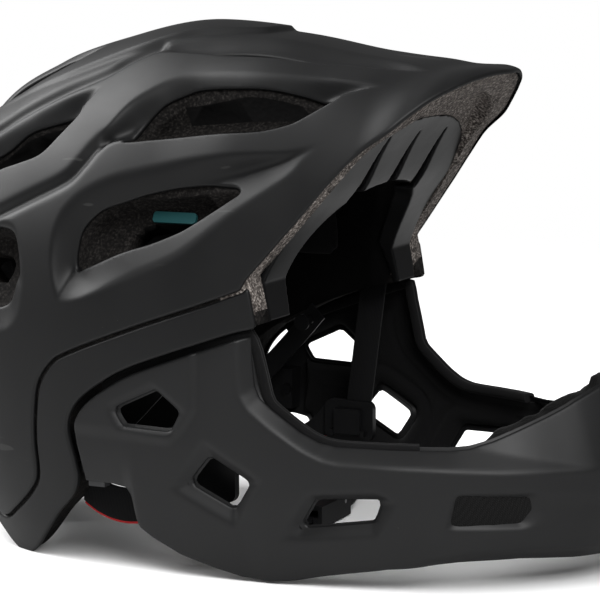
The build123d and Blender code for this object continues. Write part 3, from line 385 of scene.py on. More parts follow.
@dataclass(frozen=True)
class Steel:
    """Plated steel with a fine brushed grain."""

    name: str
    colour: tuple[float, float, float]
    roughness: float

    def build(self) -> bpy.types.Material:
        """Build the material."""
        material, tree, shader = start_material(self.name)
        shader.inputs["Metallic"].default_value = 1.0
        grain = place_group(tree, GROUPS.grain, Scale=1.6)
        rough = tree.nodes.new("ShaderNodeMapRange")
        rough.inputs["To Min"].default_value = self.roughness - 0.08
        rough.inputs["To Max"].default_value = self.roughness + 0.1
        tree.links.new(grain.outputs["Mask"], rough.inputs["Value"])
        tree.links.new(rough.outputs[0], shader.inputs["Roughness"])
        colour = mix_colours(tree, grain.outputs["Mask"], self.colour,
                             tuple(c * 0.85 for c in self.colour))
        tree.links.new(colour, shader.inputs["Base Color"])
        add_bump(tree, shader, grain.outputs["Height"], 0.15, 0.00003)
        return material


@dataclass
class Finishes:
    """Every finish of the helmet, built once."""

    shell: bpy.types.Material = field(init=False)
    guard: bpy.types.Material = field(init=False)
    trim: bpy.types.Material = field(init=False)
    foam: bpy.types.Material = field(init=False)
    padding: bpy.types.Material = field(init=False)
    mesh_cloth: bpy.types.Material = field(init=False)
    webbing: bpy.types.Material = field(init=False)
    piping: bpy.types.Material = field(init=False)
    nylon: bpy.types.Material = field(init=False)
    button: bpy.types.Material = field(init=False)
    tab: bpy.types.Material = field(init=False)
    steel: bpy.types.Material = field(init=False)
    dark_steel: bpy.types.Material = field(init=False)

    def __post_init__(self) -> None:
        """Build the materials."""
        worn = (0.30, 0.30, 0.29)
        self.shell = MouldedPlastic("shell_matt", (0.0036, 0.0037, 0.0040), worn, 0.50, 0.34, 0.25,
                                    0.08, 0.06).build()
        self.guard = MouldedPlastic("guard_matt", (0.0058, 0.0059, 0.0063), worn, 0.52, 0.42, 0.3,
                                    0.08, 0.0).build()
        self.trim = MouldedPlastic("trim_gloss", (0.003, 0.003, 0.0033), worn, 0.36, 0.13, 0.08,
                                   0.03, 0.0).build()
        self.foam = BeadFoam("bead_foam", (0.022, 0.018, 0.017), (0.105, 0.091, 0.082),
                             (0.42, 0.38, 0.35)).build()
        self.padding = Cloth("pad_cloth", (0.0022, 0.0022, 0.0025), (0.0055, 0.0053, 0.0056), 8600.0,
                             0.5, 0.0001, 0.06).build()
        self.mesh_cloth = Cloth("mesh_cloth", (0.0025, 0.0025, 0.0025), (0.008, 0.0078, 0.0078), 4600.0,
                                0.8, 0.0002, 0.06).build()
        self.webbing = Cloth("webbing", (0.0035, 0.0035, 0.004), (0.009, 0.009, 0.0095), 7000.0, 0.7,
                             0.0001, 0.06).build()
        self.piping = Cloth("piping", (0.35, 0.012, 0.015), (0.55, 0.03, 0.03), 9000.0, 0.4, 0.0001,
                            0.1).build()
        self.nylon = MouldedPlastic("nylon", (0.0045, 0.0045, 0.005), worn, 0.45, 0.3, 0.2, 0.05).build()
        self.button = MouldedPlastic("button", (0.05, 0.05, 0.052), worn, 0.5, 0.5, 0.3).build()
        self.tab = MouldedPlastic("tab", (0.007, 0.060, 0.064), worn, 0.45, 0.5, 0.2).build()
        self.steel = Steel("plated_steel", (0.62, 0.62, 0.63), 0.3).build()
        self.dark_steel = Steel("blacked_steel", (0.03, 0.03, 0.032), 0.42).build()


# Mesh helpers
def deselect_all() -> None:
    """Deselect every object."""
    if bpy.context.object and bpy.context.object.mode != "OBJECT":
        bpy.ops.object.mode_set(mode="OBJECT")
    bpy.ops.object.select_all(action="DESELECT")


def make_active(piece: bpy.types.Object) -> None:
    """Select one object only and make it active."""
    deselect_all()
    piece.select_set(True)
    bpy.context.view_layer.objects.active = piece


def new_piece(name: str, vertices: Sequence, faces: Sequence) -> bpy.types.Object:
    """Make a mesh object from points in metres and faces."""
    mesh = bpy.data.meshes.new(name)
    mesh.from_pydata([tuple(v) for v in vertices], [], [tuple(f) for f in faces])
    mesh.update()
    piece = bpy.data.objects.new(name, mesh)
    bpy.context.scene.collection.objects.link(piece)
    return piece


def copy_of_node(node: str, name: str) -> bpy.types.Object:
    """Copy a CAD node's mesh into a new object, with its doubles merged."""
    source = frame["nodes"][node]
    mesh = source.data.copy()
    piece = bpy.data.objects.new(name, mesh)
    bpy.context.scene.collection.objects.link(piece)
    clean(piece, 0.000005)
    return piece


def clean(piece: bpy.types.Object, distance: float = 0.00001) -> None:
    """Merge doubles and point the faces outwards."""
    bm = bmesh.new()
    bm.from_mesh(piece.data)
    bmesh.ops.remove_doubles(bm, verts=bm.verts, dist=distance)
    bmesh.ops.dissolve_degenerate(bm, edges=bm.edges, dist=distance / 2)
    bmesh.ops.recalc_face_normals(bm, faces=bm.faces)
    bm.to_mesh(piece.data)
    bm.free()


def apply_modifier(piece: bpy.types.Object, kind: str, **settings: object) -> None:
    """Add a modifier with its settings and apply it."""
    make_active(piece)
    modifier = piece.modifiers.new(kind.lower(), kind)
    for key, value in settings.items():
        setattr(modifier, key, value)
    bpy.ops.object.modifier_apply(modifier=modifier.name)


def cut(piece: bpy.types.Object, cutter: bpy.types.Object, how: str = "DIFFERENCE",
        solver: str = "MANIFOLD") -> None:
    """Cut, join or intersect a piece with a helper solid, and remove the helper."""
    apply_modifier(piece, "BOOLEAN", object=cutter, operation=how, solver=solver)
    bpy.data.objects.remove(cutter, do_unlink=True)


def smooth_by_angle(piece: bpy.types.Object, degrees: float = 35.0) -> None:
    """Shade smooth, with creases kept sharp above an angle."""
    make_active(piece)
    bpy.ops.object.shade_smooth_by_angle(angle=math.radians(degrees))


def dress(piece: bpy.types.Object, finish: bpy.types.Material) -> None:
    """Give a piece one finish."""
    piece.data.materials.clear()
    piece.data.materials.append(finish)


def report(piece: bpy.types.Object) -> None:
    """Log a finished piece."""
    LOG.info("%s: %d faces", piece.name, len(piece.data.polygons))


def curve_through(points: Sequence[Pair], closed: bool, count: int = 8) -> np.ndarray:
    """Smooth points of a Catmull-Rom curve through table places.

    Args:
        points: places that the curve passes.
        closed: whether the curve joins its own start.
        count: points on each run.

    Returns:
        The curve's points as rows.
    """
    base = np.array(points, float)
    if closed:
        base = np.vstack([base[-1], base, base[0], base[1]])
    else:
        base = np.vstack([2 * base[0] - base[1], base, 2 * base[-1] - base[-2]])
    out = []
    for k in range(1, len(base) - 2):
        a, b, c, d = base[k - 1], base[k], base[k + 1], base[k + 2]
        for t in np.linspace(0, 1, count, endpoint=False):
            out.append(0.5 * ((2 * b) + (c - a) * t + (2 * a - 5 * b + 4 * c - d) * t * t
                              + (3 * b - a - 3 * c + d) * t ** 3))
    if not closed:
        out.append(base[-2])
    return np.array(out)


def distance_to(points: np.ndarray, line: np.ndarray, closed: bool = False) -> np.ndarray:
    """Distance of points from a line of points, in the table's own units."""
    ends = np.vstack([line, line[:1]]) if closed else line
    best = np.full(len(points), 1e9)
    for a, b in zip(ends, ends[1:]):
        run = b - a
        size = max(float(run @ run), 1e-12)
        t = np.clip(((points - a) @ run) / size, 0, 1)
        gap = points - (a + t[:, None] * run)
        best = np.minimum(best, np.hypot(gap[:, 0], gap[:, 1]))
    return best


def inside_of(points: np.ndarray, outline: np.ndarray) -> np.ndarray:
    """Whether points lie inside a closed outline."""
    x, y = points[:, 0], points[:, 1]
    result = np.zeros(len(points), bool)
    for a, b in zip(outline, np.vstack([outline[1:], outline[:1]])):
        crosses = (a[1] > y) != (b[1] > y)
        rise = b[1] - a[1]
        where = a[0] + (y - a[1]) * (b[0] - a[0]) / (rise if abs(rise) > 1e-12 else 1e-12)
        result ^= crosses & (x < where)
    return result


def signed_inside(points: np.ndarray, outline: np.ndarray) -> np.ndarray:
    """Distance from a closed outline, positive inside it."""
    away = distance_to(points, outline, closed=True)
    return np.where(inside_of(points, outline), away, -away)


def soft_step(t: np.ndarray) -> np.ndarray:
    """Smooth step between 0 and 1."""
    t = np.clip(t, 0, 1)
    return t * t * (3 - 2 * t)


def tube(name: str, line: np.ndarray, radius: float | np.ndarray, sides: int = 10,
         closed: bool = False) -> bpy.types.Object:
    """Round tube along a line of points in metres.

    Args:
        name: name of the piece.
        line: points of the tube's middle.
        radius: radius, or one for each point.
        sides: corners round the tube.
        closed: whether the line joins its own start.

    Returns:
        The tube, with its ends closed.
    """
    count = len(line)
    radii = np.broadcast_to(np.asarray(radius, float), (count,))
    ahead = np.roll(line, -1, axis=0) - np.roll(line, 1, axis=0)
    if not closed:
        ahead[0], ahead[-1] = line[1] - line[0], line[-1] - line[-2]
    ahead /= np.maximum(np.linalg.norm(ahead, axis=1)[:, None], 1e-12)
    across = np.cross(ahead[0], (0, 0, 1))
    if np.linalg.norm(across) < 0.1:
        across = np.cross(ahead[0], (0, 1, 0))
    vertices, faces = [], []
    for k in range(count):
        across = across - ahead[k] * (across @ ahead[k])
        across /= np.linalg.norm(across)
        up = np.cross(ahead[k], across)
        for j in range(sides):
            a = 2 * math.pi * j / sides
            vertices.append(line[k] + radii[k] * (math.cos(a) * across + math.sin(a) * up))
    for k in range(count if closed else count - 1):
        n = (k + 1) % count
        for j in range(sides):
            m = (j + 1) % sides
            faces.append((k * sides + j, k * sides + m, n * sides + m, n * sides + j))
    if not closed:
        faces.append(tuple(range(sides)))
        faces.append(tuple((count - 1) * sides + j for j in range(sides)))
    piece = new_piece(name, vertices, faces)
    clean(piece, 0.000001)
    return piece


# Dome and relief
@dataclass
class Dome:
    """Base form of the helmet's dome and visor, in millimetres, as the CAD has it."""

    rear: float = -175.0
    length: float = 290.0
    half_width: float = 106.0
    axis_height: float = 110.0
    rise: float = 130.0
    depth: float = 200.0
    rows: tuple = (
        (0.0, 0.05, 0.05, 0.05), (0.014, 0.264, 0.231, 0.17), (0.0586, 0.566, 0.515, 0.36),
        (0.1276, 0.774, 0.715, 0.56), (0.231, 0.915, 0.854, 0.80), (0.3517, 0.981, 0.938, 0.95),
        (0.4897, 1.0, 0.996, 1.0), (0.6276, 0.976, 0.969, 1.0), (0.7655, 0.863, 0.912, 1.0),
        (0.8345, 0.828, 0.892, 1.0), (0.8966, 0.80, 0.885, 1.0), (0.9330, 0.730, 0.880, 1.0),
        (0.9586, 0.620, 0.872, 1.0), (0.9760, 0.490, 0.860, 1.0), (0.9890, 0.340, 0.845, 1.0),
        (0.9965, 0.200, 0.828, 1.0), (1.0, 0.08, 0.815, 1.0))

    def __post_init__(self) -> None:
        """Prepare smooth interpolation through the rows."""
        table = np.array(self.rows)
        self._places = table[:, 0]
        self._values = table[:, 1:]
        step = np.diff(self._places)[:, None]
        slope = np.diff(self._values, axis=0) / step
        tangent = np.zeros_like(self._values)
        tangent[0], tangent[-1] = slope[0], slope[-1]
        for k in range(1, len(self._places) - 1):
            a, b = step[k - 1], step[k]
            mean = (slope[k - 1] * b + slope[k] * a) / (a + b)
            tangent[k] = np.where(slope[k - 1] * slope[k] > 0, mean, 0.0)
        self._tangent = tangent

    def sizes(self, share: np.ndarray) -> np.ndarray:
        """Half width, rise and depth shares at places along the length."""
        share = np.clip(share, 0, 1)
        k = np.clip(np.searchsorted(self._places, share) - 1, 0, len(self._places) - 2)
        h = (self._places[k + 1] - self._places[k])[:, None]
        t = ((share - self._places[k])[:, None]) / h
        return ((2 * t ** 3 - 3 * t ** 2 + 1) * self._values[k]
                + (t ** 3 - 2 * t ** 2 + t) * h * self._tangent[k]
                + (-2 * t ** 3 + 3 * t ** 2) * self._values[k + 1]
                + (t ** 3 - t ** 2) * h * self._tangent[k + 1])

    def radius(self, share: np.ndarray, angle: np.ndarray) -> np.ndarray:
        """Distance from the long axis at angles in degrees from straight up."""
        sizes = self.sizes(share)
        wide = sizes[:, 0] * self.half_width
        angle = np.radians(np.abs(angle))
        upper = angle <= math.pi / 2
        high = np.where(upper, sizes[:, 1] * self.rise, sizes[:, 2] * self.depth)
        t = soft_step((share - 0.524) / 0.31)
        power = np.where(upper, 2.15 + 0.85 * t, 2.0)
        k = (8 * 2 ** (-1 / power) - 4) / 3
        lean = np.where(upper, angle, math.pi - angle)
        low, top = np.zeros_like(lean), np.ones_like(lean)
        for _ in range(26):
            mid = (low + top) / 2
            y, z = self._quarter(mid, wide, high, k)
            past = np.arctan2(y, z) < lean
            top = np.where(past, mid, top)
            low = np.where(past, low, mid)
        y, z = self._quarter((low + top) / 2, wide, high, k)
        return np.hypot(y, z)

    @staticmethod
    def _quarter(t: np.ndarray, wide: np.ndarray, high: np.ndarray, k: np.ndarray) -> tuple:
        """Point of a quarter section, from the flank to the top or bottom."""
        u = 1 - t
        y = wide * (u ** 3 + 3 * u * u * t + 3 * u * t * t * k)
        z = high * (3 * u * u * t * k + 3 * u * t * t + t ** 3)
        return y, z

    def points(self, share: np.ndarray, angle: np.ndarray, lift: np.ndarray | float) -> np.ndarray:
        """Points in millimetres, lifted off the base form along its normal.

        Args:
            share: places along the length.
            angle: angles in degrees from straight up, positive to the left.
            lift: height above the base form.

        Returns:
            Points as rows.
        """
        base = self._on_base(share, angle)
        e = 0.0015
        along = self._on_base(np.clip(share + e, 0, 1), angle) - self._on_base(
            np.clip(share - e, 0, 1), angle)
        round_ = self._on_base(share, angle + 0.4) - self._on_base(share, angle - 0.4)
        normal = np.cross(along, round_)
        normal *= -1.0
        size = np.linalg.norm(normal, axis=1)[:, None]
        normal = normal / np.maximum(size, 1e-9)
        middle = np.zeros_like(base)
        middle[:, 0] = np.clip(base[:, 0], -120, 60)
        middle[:, 2] = self.axis_height
        flip = np.sum(normal * (base - middle), axis=1) < 0
        normal[flip] *= -1
        return base + normal * np.broadcast_to(np.asarray(lift, float), share.shape)[:, None]

    def _on_base(self, share: np.ndarray, angle: np.ndarray) -> np.ndarray:
        """Points of the base form itself."""
        radius = self.radius(share, angle)
        lean = np.radians(angle)
        return np.stack([self.rear + np.clip(share, 0, 1) * self.length,
                         radius * np.sin(lean),
                         self.axis_height + radius * np.cos(lean)], axis=1)


@dataclass(frozen=True)
class Recess:
    """Hollow above a vent, from a soft upper line to a crisp lower one, with its vent."""

    name: str
    upper: tuple[Pair, ...]
    lower: tuple[Pair, ...]
    vent: tuple[Pair, ...]
    depth: float
    peak: float = 0.5
    sill: float = 0.0
    sill_start: float = 0.7
    full_width: float = 16.0


RECESSES = (
    Recess("rear_high", (
        (0.02, 47.0), (0.10, 45.5), (0.16, 43.6), (0.221, 40.7), (0.264, 38.2), (0.299, 35.4),
        (0.336, 33.6), (0.37, 32.3), (0.394, 31.9)), (
        (0.02, 50.0), (0.08, 56.0), (0.14, 56.3), (0.20, 54.0), (0.25, 51.9), (0.289, 50.8),
        (0.325, 49.0), (0.352, 44.3), (0.369, 40.8), (0.379, 37.0), (0.394, 31.9)), (
        (0.10, 51.5), (0.17, 48.3), (0.236, 45.2), (0.277, 42.0), (0.326, 39.4), (0.370, 37.5),
        (0.374, 39.0), (0.369, 40.6), (0.352, 44.1), (0.325, 48.8), (0.289, 50.6), (0.25, 51.7),
        (0.18, 54.4), (0.12, 54.8)), 6.5, 0.55),
    Recess("side_high", (
        (0.428, 48.8), (0.429, 45.5), (0.443, 42.2), (0.462, 37.3), (0.49, 33.2), (0.516, 30.3),
        (0.551, 28.4), (0.608, 27.9), (0.66, 27.7), (0.719, 27.0), (0.778, 26.6), (0.85, 26.0)), (
        (0.428, 48.8), (0.434, 49.6), (0.448, 47.9), (0.481, 46.9), (0.533, 45.8), (0.598, 44.7),
        (0.663, 43.6), (0.70, 42.2), (0.732, 40.0), (0.747, 38.3), (0.771, 35.0), (0.787, 32.4),
        (0.815, 29.4), (0.85, 26.0)), (
        (0.472, 46.3), (0.474, 44.0), (0.488, 40.6), (0.512, 36.4), (0.538, 33.8), (0.568, 32.2),
        (0.636, 31.6), (0.70, 31.1), (0.74, 30.8), (0.775, 30.7), (0.790, 31.3), (0.786, 33.0),
        (0.771, 35.5), (0.747, 38.8), (0.73, 40.6), (0.697, 42.7), (0.663, 43.8), (0.598, 44.9),
        (0.533, 46.0), (0.481, 47.0)), 8.0, 0.45),
    Recess("side_low", (
        (0.392, 84.5), (0.378, 77.0), (0.374, 69.0), (0.385, 63.0), (0.407, 59.0), (0.434, 56.4),
        (0.469, 54.2), (0.514, 52.4), (0.578, 50.3), (0.643, 48.9), (0.703, 47.4), (0.742, 46.2),
        (0.79, 43.6)), (
        (0.392, 84.5), (0.43, 83.4), (0.50, 79.0), (0.56, 75.0), (0.60, 71.6), (0.641, 66.2),
        (0.67, 62.0), (0.711, 56.4), (0.747, 51.4), (0.765, 47.6), (0.79, 43.6)), (
        (0.411, 76.4), (0.412, 71.0), (0.42, 66.8), (0.438, 63.8), (0.457, 62.0), (0.489, 60.3),
        (0.521, 58.6), (0.568, 56.7), (0.617, 55.5), (0.649, 55.1), (0.668, 55.3), (0.675, 56.3),
        (0.664, 58.0), (0.638, 61.2), (0.602, 65.0), (0.579, 66.9), (0.54, 69.4), (0.50, 71.4),
        (0.46, 73.9), (0.43, 75.8)), 7.5, 0.36, 0.62, 0.62, 24.0),
    Recess("crown", (
        (0.452, 21.6), (0.475, 17.8), (0.51, 15.1), (0.566, 11.8), (0.606, 10.0), (0.65, 9.0),
        (0.718, 8.4), (0.788, 9.2), (0.84, 11.2), (0.89, 14.6)), (
        (0.452, 21.6), (0.50, 21.9), (0.548, 21.9), (0.62, 21.7), (0.678, 21.3), (0.742, 20.4),
        (0.802, 19.4), (0.842, 18.2), (0.871, 16.8), (0.89, 14.6)), (
        (0.543, 21.0), (0.57, 19.2), (0.61, 18.2), (0.65, 18.0), (0.70, 18.3), (0.753, 19.4),
        (0.742, 20.4), (0.70, 21.1), (0.65, 21.5), (0.60, 21.7), (0.56, 21.7)), 3.2, 0.62),
    Recess("rear_low", (
        (0.328, 82.0), (0.318, 72.0), (0.30, 66.0), (0.25, 63.6), (0.19, 64.5), (0.14, 69.0),
        (0.11, 74.0)), (
        (0.328, 82.0), (0.316, 89.0), (0.29, 93.0), (0.24, 93.5), (0.18, 88.0), (0.13, 80.0),
        (0.11, 74.0)), (
        (0.310, 74.0), (0.305, 80.0), (0.287, 86.0), (0.24, 86.6), (0.190, 80.5), (0.150, 72.0),
        (0.175, 68.0), (0.24, 66.6), (0.289, 67.6), (0.306, 70.0)), 6.5, 0.36, 0.5, 0.62, 22.0),
    Recess("rear_crown", (
        (0.06, 24.0), (0.10, 15.0), (0.20, 8.5), (0.27, 8.0), (0.335, 11.0)), (
        (0.06, 24.0), (0.12, 29.0), (0.22, 27.0), (0.30, 20.0), (0.335, 11.0)), (
        (0.120, 25.5), (0.135, 17.0), (0.225, 12.0), (0.295, 12.4), (0.29, 17.0), (0.21, 24.0)),
        4.5, 0.5),
)
UPPER_GROOVE = ((-0.02, 36.0), (0.06, 42.0), (0.12, 43.0), (0.17, 41.2), (0.214, 38.7), (0.257, 36.0),
                (0.296, 33.4), (0.334, 30.7), (0.372, 28.5), (0.395, 26.7), (0.413, 24.0),
                (0.434, 21.6), (0.456, 19.6))
LOWER_GROOVE = ((-0.02, 62.0), (0.06, 66.0), (0.14, 68.0), (0.20, 66.6), (0.27, 63.2), (0.325, 59.8),
                (0.384, 55.9), (0.408, 52.2), (0.423, 48.9), (0.436, 46.5))
CROWN_EDGE = ((0.10, 30.0), (0.20, 29.0), (0.293, 26.2), (0.343, 23.8), (0.39, 21.4), (0.436, 18.8),
              (0.469, 16.0), (0.503, 13.1), (0.559, 9.8), (0.590, 7.2), (0.600, 4.0), (0.603, 0.0))


@dataclass
class Relief:
    """Ribs, hollows and grooves of the shell as heights over the base form."""

    round_scale: float = 1.83
    length: float = 290.0
    groove_depth: float = 2.4
    groove_width: float = 2.6
    plateau: float = 2.2
    plateau_drop: float = 0.9
    plateau_edge: float = 3.4
    lip_dip: float = 2.0

    def flat(self, places: Iterable[Pair]) -> np.ndarray:
        """Table places as flat millimetres: along the length, and round the section."""
        table = np.array(list(places), float)
        return np.stack([table[:, 0] * self.length, table[:, 1] * self.round_scale], axis=1)

    def vent_field(self, recess: Recess, share: np.ndarray, angle: np.ndarray,
                   grow: float) -> np.ndarray:
        """Distance from a vent's outline, negative in the vent."""
        points = self.flat(zip(share, np.abs(angle)))
        return -signed_inside(points, curve_through(self.flat(recess.vent), True)) - grow

    def height(self, share: np.ndarray, angle: np.ndarray) -> np.ndarray:
        """Height of the shell over the base form, in millimetres."""
        points = self.flat(zip(share, np.abs(angle)))
        total = np.zeros(len(points))
        for recess in RECESSES:
            total -= self._hollow(recess, points)
        for line in (UPPER_GROOVE, LOWER_GROOVE):
            away = distance_to(points, curve_through(self.flat(line), False))
            fade = soft_step((points[:, 0] - 4.0) / 30.0)
            total -= fade * self.groove_depth * np.exp(-(away / self.groove_width) ** 2)
        total += self._crown(points)
        total -= self._lip(share, angle)
        return total

    def _hollow(self, recess: Recess, points: np.ndarray) -> np.ndarray:
        """Depth of one hollow."""
        upper = curve_through(self.flat(recess.upper), False)
        lower = curve_through(self.flat(recess.lower), False)
        outline = np.vstack([upper, lower[::-1]])
        inside = inside_of(points, outline)
        depth = np.zeros(len(points))
        if not inside.any():
            return depth
        chosen = points[inside]
        to_upper = distance_to(chosen, upper)
        to_lower = distance_to(chosen, lower)
        whole = to_upper + to_lower
        u = to_upper / np.maximum(whole, 1e-6)
        rise = soft_step(u / recess.peak)
        if recess.sill > 0:
            fall = np.interp(u, (recess.peak, recess.sill_start, 0.93, 1.0),
                             (1.0, recess.sill, 0.06, 0.0))
        else:
            fall = soft_step((1 - u) / (1 - recess.peak) * 1.4)
        width = soft_step(whole / recess.full_width)
        depth[inside] = recess.depth * np.where(u < recess.peak, rise, fall) * width
        return depth

    def _crown(self, points: np.ndarray) -> np.ndarray:
        """Raised tongue on the crown that ends in a step, and the dip beside it."""
        edge = curve_through(self.flat(CROWN_EDGE), False)
        outline = np.vstack([edge, [[edge[-1][0], -60.0], [-60.0, -60.0], [-60.0, edge[0][1]]]])
        away = distance_to(points, edge)
        signed = np.where(inside_of(points, outline), away, -away)
        raised = soft_step(0.5 + signed / self.plateau_edge)
        share = points[:, 0] / self.length
        front = soft_step((share - 0.12) / 0.35)
        near = np.exp(-(points[:, 1] / 70.0) ** 4) * np.exp(-((share - 0.62) / 0.22) ** 4)
        return self.plateau * front * raised - self.plateau_drop * near

    def _lip(self, share: np.ndarray, angle: np.ndarray) -> np.ndarray:
        """Shallow dip behind the visor's upturned rim."""
        centre = 0.93 - 0.0022 * np.abs(angle)
        dip = np.exp(-((share - centre) / 0.045) ** 2)
        return self.lip_dip * dip * soft_step((52 - np.abs(angle)) / 22.0)


@dataclass
class SideOutlines:
    """Outlines in the side view that part the shells, as shares of length and height."""

    dome: Dome
    height: float = 240.0
    seam: tuple[Pair, ...] = (
        (0.6897, 0.5375), (0.633, 0.511), (0.526, 0.465), (0.410, 0.410), (0.376, 0.385),
        (0.352, 0.345), (0.342, 0.290), (0.337, 0.2375), (0.3345, 0.168), (0.317, 0.133),
        (0.279, 0.092), (0.240, 0.064), (0.200, 0.090), (0.1276, 0.172), (0.0586, 0.225),
        (-0.03, 0.25))
    rim: tuple[Pair, ...] = (
        (0.698, 0.558), (0.7207, 0.592), (0.769, 0.667), (0.810, 0.732), (0.848, 0.786),
        (0.8876, 0.825), (0.9197, 0.8646), (0.9476, 0.8917), (0.9707, 0.9105), (0.9886, 0.9167),
        (1.03, 0.925))
    band: tuple[Pair, ...] = (
        (0.7117, 0.471), (0.6655, 0.457), (0.524, 0.396), (0.462, 0.357), (0.418, 0.315),
        (0.400, 0.267), (0.408, 0.204), (0.410, 0.169), (0.398, 0.135), (0.362, 0.092),
        (0.303, 0.012), (0.270, -0.008), (0.240, 0.004), (0.1966, 0.055), (0.1276, 0.128),
        (0.0586, 0.1667), (-0.03, 0.185))

    def line(self, table: Sequence[Pair]) -> np.ndarray:
        """Smooth line in side-view millimetres."""
        pairs = np.array(table, float)
        flat = np.stack([self.dome.rear + pairs[:, 0] * self.dome.length,
                         pairs[:, 1] * self.height], axis=1)
        return curve_through(flat, False, 10)

    def above(self, points: np.ndarray, lower: Sequence[Pair], front: Sequence[Pair]) -> np.ndarray:
        """Distance into the region above a lower line and behind a front line."""
        low, fore = self.line(lower), self.line(front)
        corners = np.array([[fore[-1][0], 400.0], [-400.0, 400.0], [-400.0, low[-1][1]]])
        outline = np.vstack([fore, corners, low[::-1]])
        edge = np.vstack([low[::-1], fore])
        away = distance_to(points, edge)
        return np.where(inside_of(points, outline), away, -away)


Field = Callable[[np.ndarray, np.ndarray], np.ndarray]


def face_outwards(skin: bpy.types.Object) -> None:
    """Point an open skin's faces away from the helmet's middle."""
    mesh = skin.data
    centre = Vector((-0.03, 0, 0.11))
    score = sum((p.center - centre).dot(p.normal) * p.area for p in mesh.polygons)
    if score < 0:
        mesh.flip_normals()


@dataclass
class FieldGrid:
    """Grid of cells that is trimmed exactly where its fields change sign."""

    first: np.ndarray
    second: np.ndarray
    fields: Sequence[Field]

    def build(self, name: str, lay: Callable[[np.ndarray, np.ndarray], np.ndarray],
              merge: float = 0.00004) -> bpy.types.Object:
        """Trim the grid and lay its points in space.

        Args:
            name: name of the piece.
            lay: gives points in millimetres from the two grid coordinates.
            merge: distance within which points are merged, in metres.

        Returns:
            The open skin as an object.
        """
        grid_a, grid_b = np.meshgrid(self.first, self.second, indexing="ij")
        flat_a, flat_b = grid_a.ravel(), grid_b.ravel()
        values = np.stack([f(flat_a, flat_b) for f in self.fields], axis=1)
        places = list(zip(flat_a, flat_b))
        rows, columns = grid_a.shape
        kept = values >= 0
        good = kept.all(axis=1)
        faces: list[tuple[int, ...]] = []
        extra: dict[tuple, int] = {}
        for i in range(rows - 1):
            for j in range(columns - 1):
                quad = (i * columns + j, i * columns + j + 1, (i + 1) * columns + j + 1,
                        (i + 1) * columns + j)
                if good[quad[0]] and good[quad[1]] and good[quad[2]] and good[quad[3]]:
                    faces.append(quad)
                elif kept[list(quad)].any(axis=0).all():
                    polygon = self._clip(quad, places, values, extra)
                    if len(polygon) > 2:
                        faces.append(tuple(polygon))
        used = sorted({v for f in faces for v in f})
        order = {v: k for k, v in enumerate(used)}
        table = np.array([places[v] for v in used])
        points = lay(table[:, 0], table[:, 1])
        skin = new_piece(name, points * MM, [[order[v] for v in f] for f in faces])
        clean(skin, merge)
        return skin

    def _clip(self, quad: Sequence[int], places: list, values: np.ndarray, extra: dict) -> list[int]:
        """Trim one cell by every field in turn."""
        polygon = [(v, places[v], values[v] if v < len(values) else None) for v in quad]
        for k in range(len(self.fields)):
            trimmed = []
            for here, there in zip(polygon, polygon[1:] + polygon[:1]):
                a, b = here[2][k], there[2][k]
                if a >= 0:
                    trimmed.append(here)
                if (a >= 0) != (b >= 0):
                    t = a / (a - b)
                    place = (here[1][0] + (there[1][0] - here[1][0]) * t,
                             here[1][1] + (there[1][1] - here[1][1]) * t)
                    key = (round(place[0], 7), round(place[1], 4))
                    if key not in extra:
                        places.append(place)
                        extra[key] = len(places) - 1
                    value = here[2] + (there[2] - here[2]) * t
                    value[k] = 0.0
                    trimmed.append((extra[key], place, value))
            polygon = trimmed
            if len(polygon) < 3:
                return []
        out: list[int] = []
        for v, _, _ in polygon:
            if not out or out[-1] != v:
                out.append(v)
        return out if out[0] != out[-1] else out[:-1]


@dataclass
class DomeSkin:
    """Skin laid over the dome on a fine grid and trimmed exactly along its outlines."""

    dome: Dome
    relief: Optional[Relief]
    lift: float
    fields: Sequence[Field]
    step: float = 1.15
    first_angle: float = -180.0
    last_angle: float = 180.0

    def build(self, name: str) -> bpy.types.Object:
        """Lay the grid, trim it and lift it.

        Args:
            name: name of the piece.

        Returns:
            The open skin as an object.
        """
        count = int((self.last_angle - self.first_angle) * 1.9 / self.step)
        angles = np.linspace(self.first_angle, self.last_angle, count + 1)

        def lay(share: np.ndarray, angle: np.ndarray) -> np.ndarray:
            """Points of the skin in millimetres."""
            height = self.relief.height(share, angle) if self.relief else 0.0
            return self.dome.points(share, angle, height + self.lift)

        skin = FieldGrid(self._shares(), angles, self.fields).build(name, lay)
        face_outwards(skin)
        return skin

    def _shares(self) -> np.ndarray:
        """Places along the length, close together where the dome curves in."""
        fine = np.linspace(0, 1, 4001)
        sizes = self.dome.sizes(fine)
        run = np.diff(fine) * self.dome.length
        rise = np.diff(sizes[:, 1]) * self.dome.rise
        wide = np.diff(sizes[:, 0]) * self.dome.half_width * 0.6
        length = np.concatenate([[0], np.cumsum(np.sqrt(run ** 2 + rise ** 2 + wide ** 2))])
        count = int(length[-1] / self.step)
        return np.interp(np.linspace(0, length[-1], count + 1), length, fine)


def boundary_loops(bm: bmesh.types.BMesh) -> list[list[bmesh.types.BMVert]]:
    """Ordered loops of vertices round every open edge of a skin."""
    edges = {e for e in bm.edges if len(e.link_faces) == 1}
    loops = []
    while edges:
        start = next(iter(edges))
        edges.discard(start)
        loop = [start.verts[0], start.verts[1]]
        while True:
            last = loop[-1]
            following = next((e for e in last.link_edges if e in edges), None)
            if following is None:
                break
            edges.discard(following)
            loop.append(following.other_vert(last))
            if loop[-1] is loop[0]:
                loop.pop()
                break
        if len(loop) > 5:
            loops.append(loop)
    return loops


